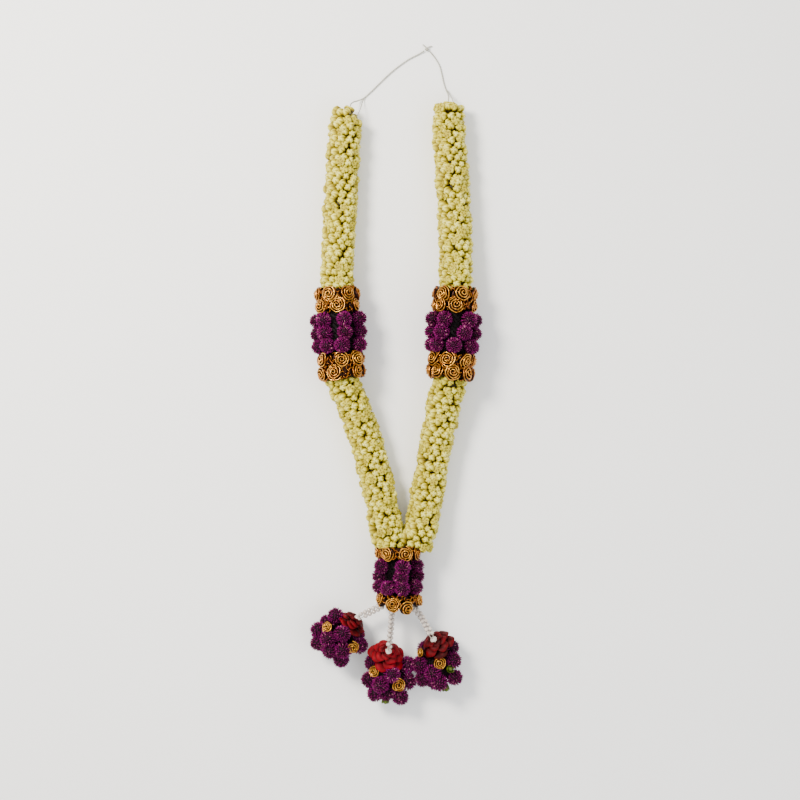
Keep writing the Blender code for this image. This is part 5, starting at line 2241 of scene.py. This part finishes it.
@dataclass(frozen=True)
class Studio:
    """The board that the garland lies on, the lamps and the camera above it."""

    camera_at: Triple = (0.0043, 0.0021, 2.435)
    lens: float = 75.5
    sensor: float = 36.0
    far_clip: float = 30.0
    board_size: float = 5.0
    board_depth: float = 20.0 * MM
    board_drop: float = 0.4 * MM
    sky_colour: str = "#FFFFFF"
    sky_strength: float = 1.35
    lamps: tuple[Lamp, ...] = (
        Lamp("key_lamp", (-1.1, 0.9, 1.7), 0.7, 95.0, "#FFF8EE"),
        Lamp("fill_lamp", (1.6, -0.8, 2.2), 1.8, 25.0, "#F4F8FF"),
    )

    def camera(self) -> None:
        """Hang the camera over the garland, looking straight down."""
        data = bpy.data.cameras.new("overhead_camera")
        data.lens = self.lens
        data.sensor_width = self.sensor
        data.clip_end = self.far_clip
        camera = bpy.data.objects.new("overhead_camera", data)
        camera.location = self.camera_at
        bpy.context.scene.collection.objects.link(camera)
        bpy.context.scene.camera = camera

    def build(self, material: bpy.types.Material) -> None:
        """Lay the board and hang the lamps.

        Args:
            material: the board's finish.
        """
        half = self.board_size / 2
        corners = np.linspace(-half, half, 9)
        across, along = np.meshgrid(corners, corners, indexing="xy")
        net = np.stack([across, along, np.zeros_like(across)], axis=-1)
        sheet = thick_sheet(net, self.board_depth, 0.5)
        mesh = bpy.data.meshes.new("studio_board")
        mesh.from_pydata(sheet.points.tolist(), [], sheet.faces.tolist())
        mesh.materials.append(material)
        board = bpy.data.objects.new("studio_board", mesh)
        board.location.z = -self.board_drop
        bpy.context.scene.collection.objects.link(board)
        board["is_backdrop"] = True
        world = bpy.data.worlds.new("studio_air")
        world.use_nodes = True
        sky = world.node_tree.nodes["Background"]
        sky.inputs["Color"].default_value = linear(self.sky_colour)
        sky.inputs["Strength"].default_value = self.sky_strength
        bpy.context.scene.world = world
        for lamp in self.lamps:
            lamp.hang()


def note_sizes(first: tuple[Vector, Vector], last: tuple[Vector, Vector]) -> None:
    """Put the box of the solids and the box of the finished look into a table, which is not kept.

    Args:
        first: the lowest and highest corner before any piece was made.
        last: the lowest and highest corner at the end.
    """
    boxes = {
        name: [[float(value) for value in corner] for corner in box]
        for name, box in (("cad", first), ("visual", last))
    }


def main() -> None:
    """Dress the garland: camera and threads first, then ropes, collars, pendant and bunches."""
    logging.basicConfig(level=logging.INFO, format="%(name)s: %(message)s")
    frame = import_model()
    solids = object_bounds()
    studio = Studio()
    studio.camera()
    workshop = Workshop()
    pieces = Neck().build(workshop.finish(COTTON_THREAD))
    pieces += Ropes(workshop).build()
    pieces += Pendant(workshop).build()
    for side in Side:
        pieces += Bunch(workshop, side).build()
    for piece in pieces:
        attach(piece, "root")
        LOG.info("%s: %d faces", piece.name, len(piece.data.polygons))
    fibre = workshop.finish(TWISTED_FIBRE)
    for side in (Side.LEFT, Side.RIGHT):
        cord = frame["nodes"][f"core_cord_{side.value}"]
        cord.data.materials.clear()
        cord.data.materials.append(fibre)
    LOG.info("%d pieces, %d faces", len(pieces), sum(len(piece.data.polygons) for piece in pieces))
    studio.build(workshop.finish(STUDIO_BOARD))
    note_sizes(solids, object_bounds())


if __name__ == "__main__":
    main()
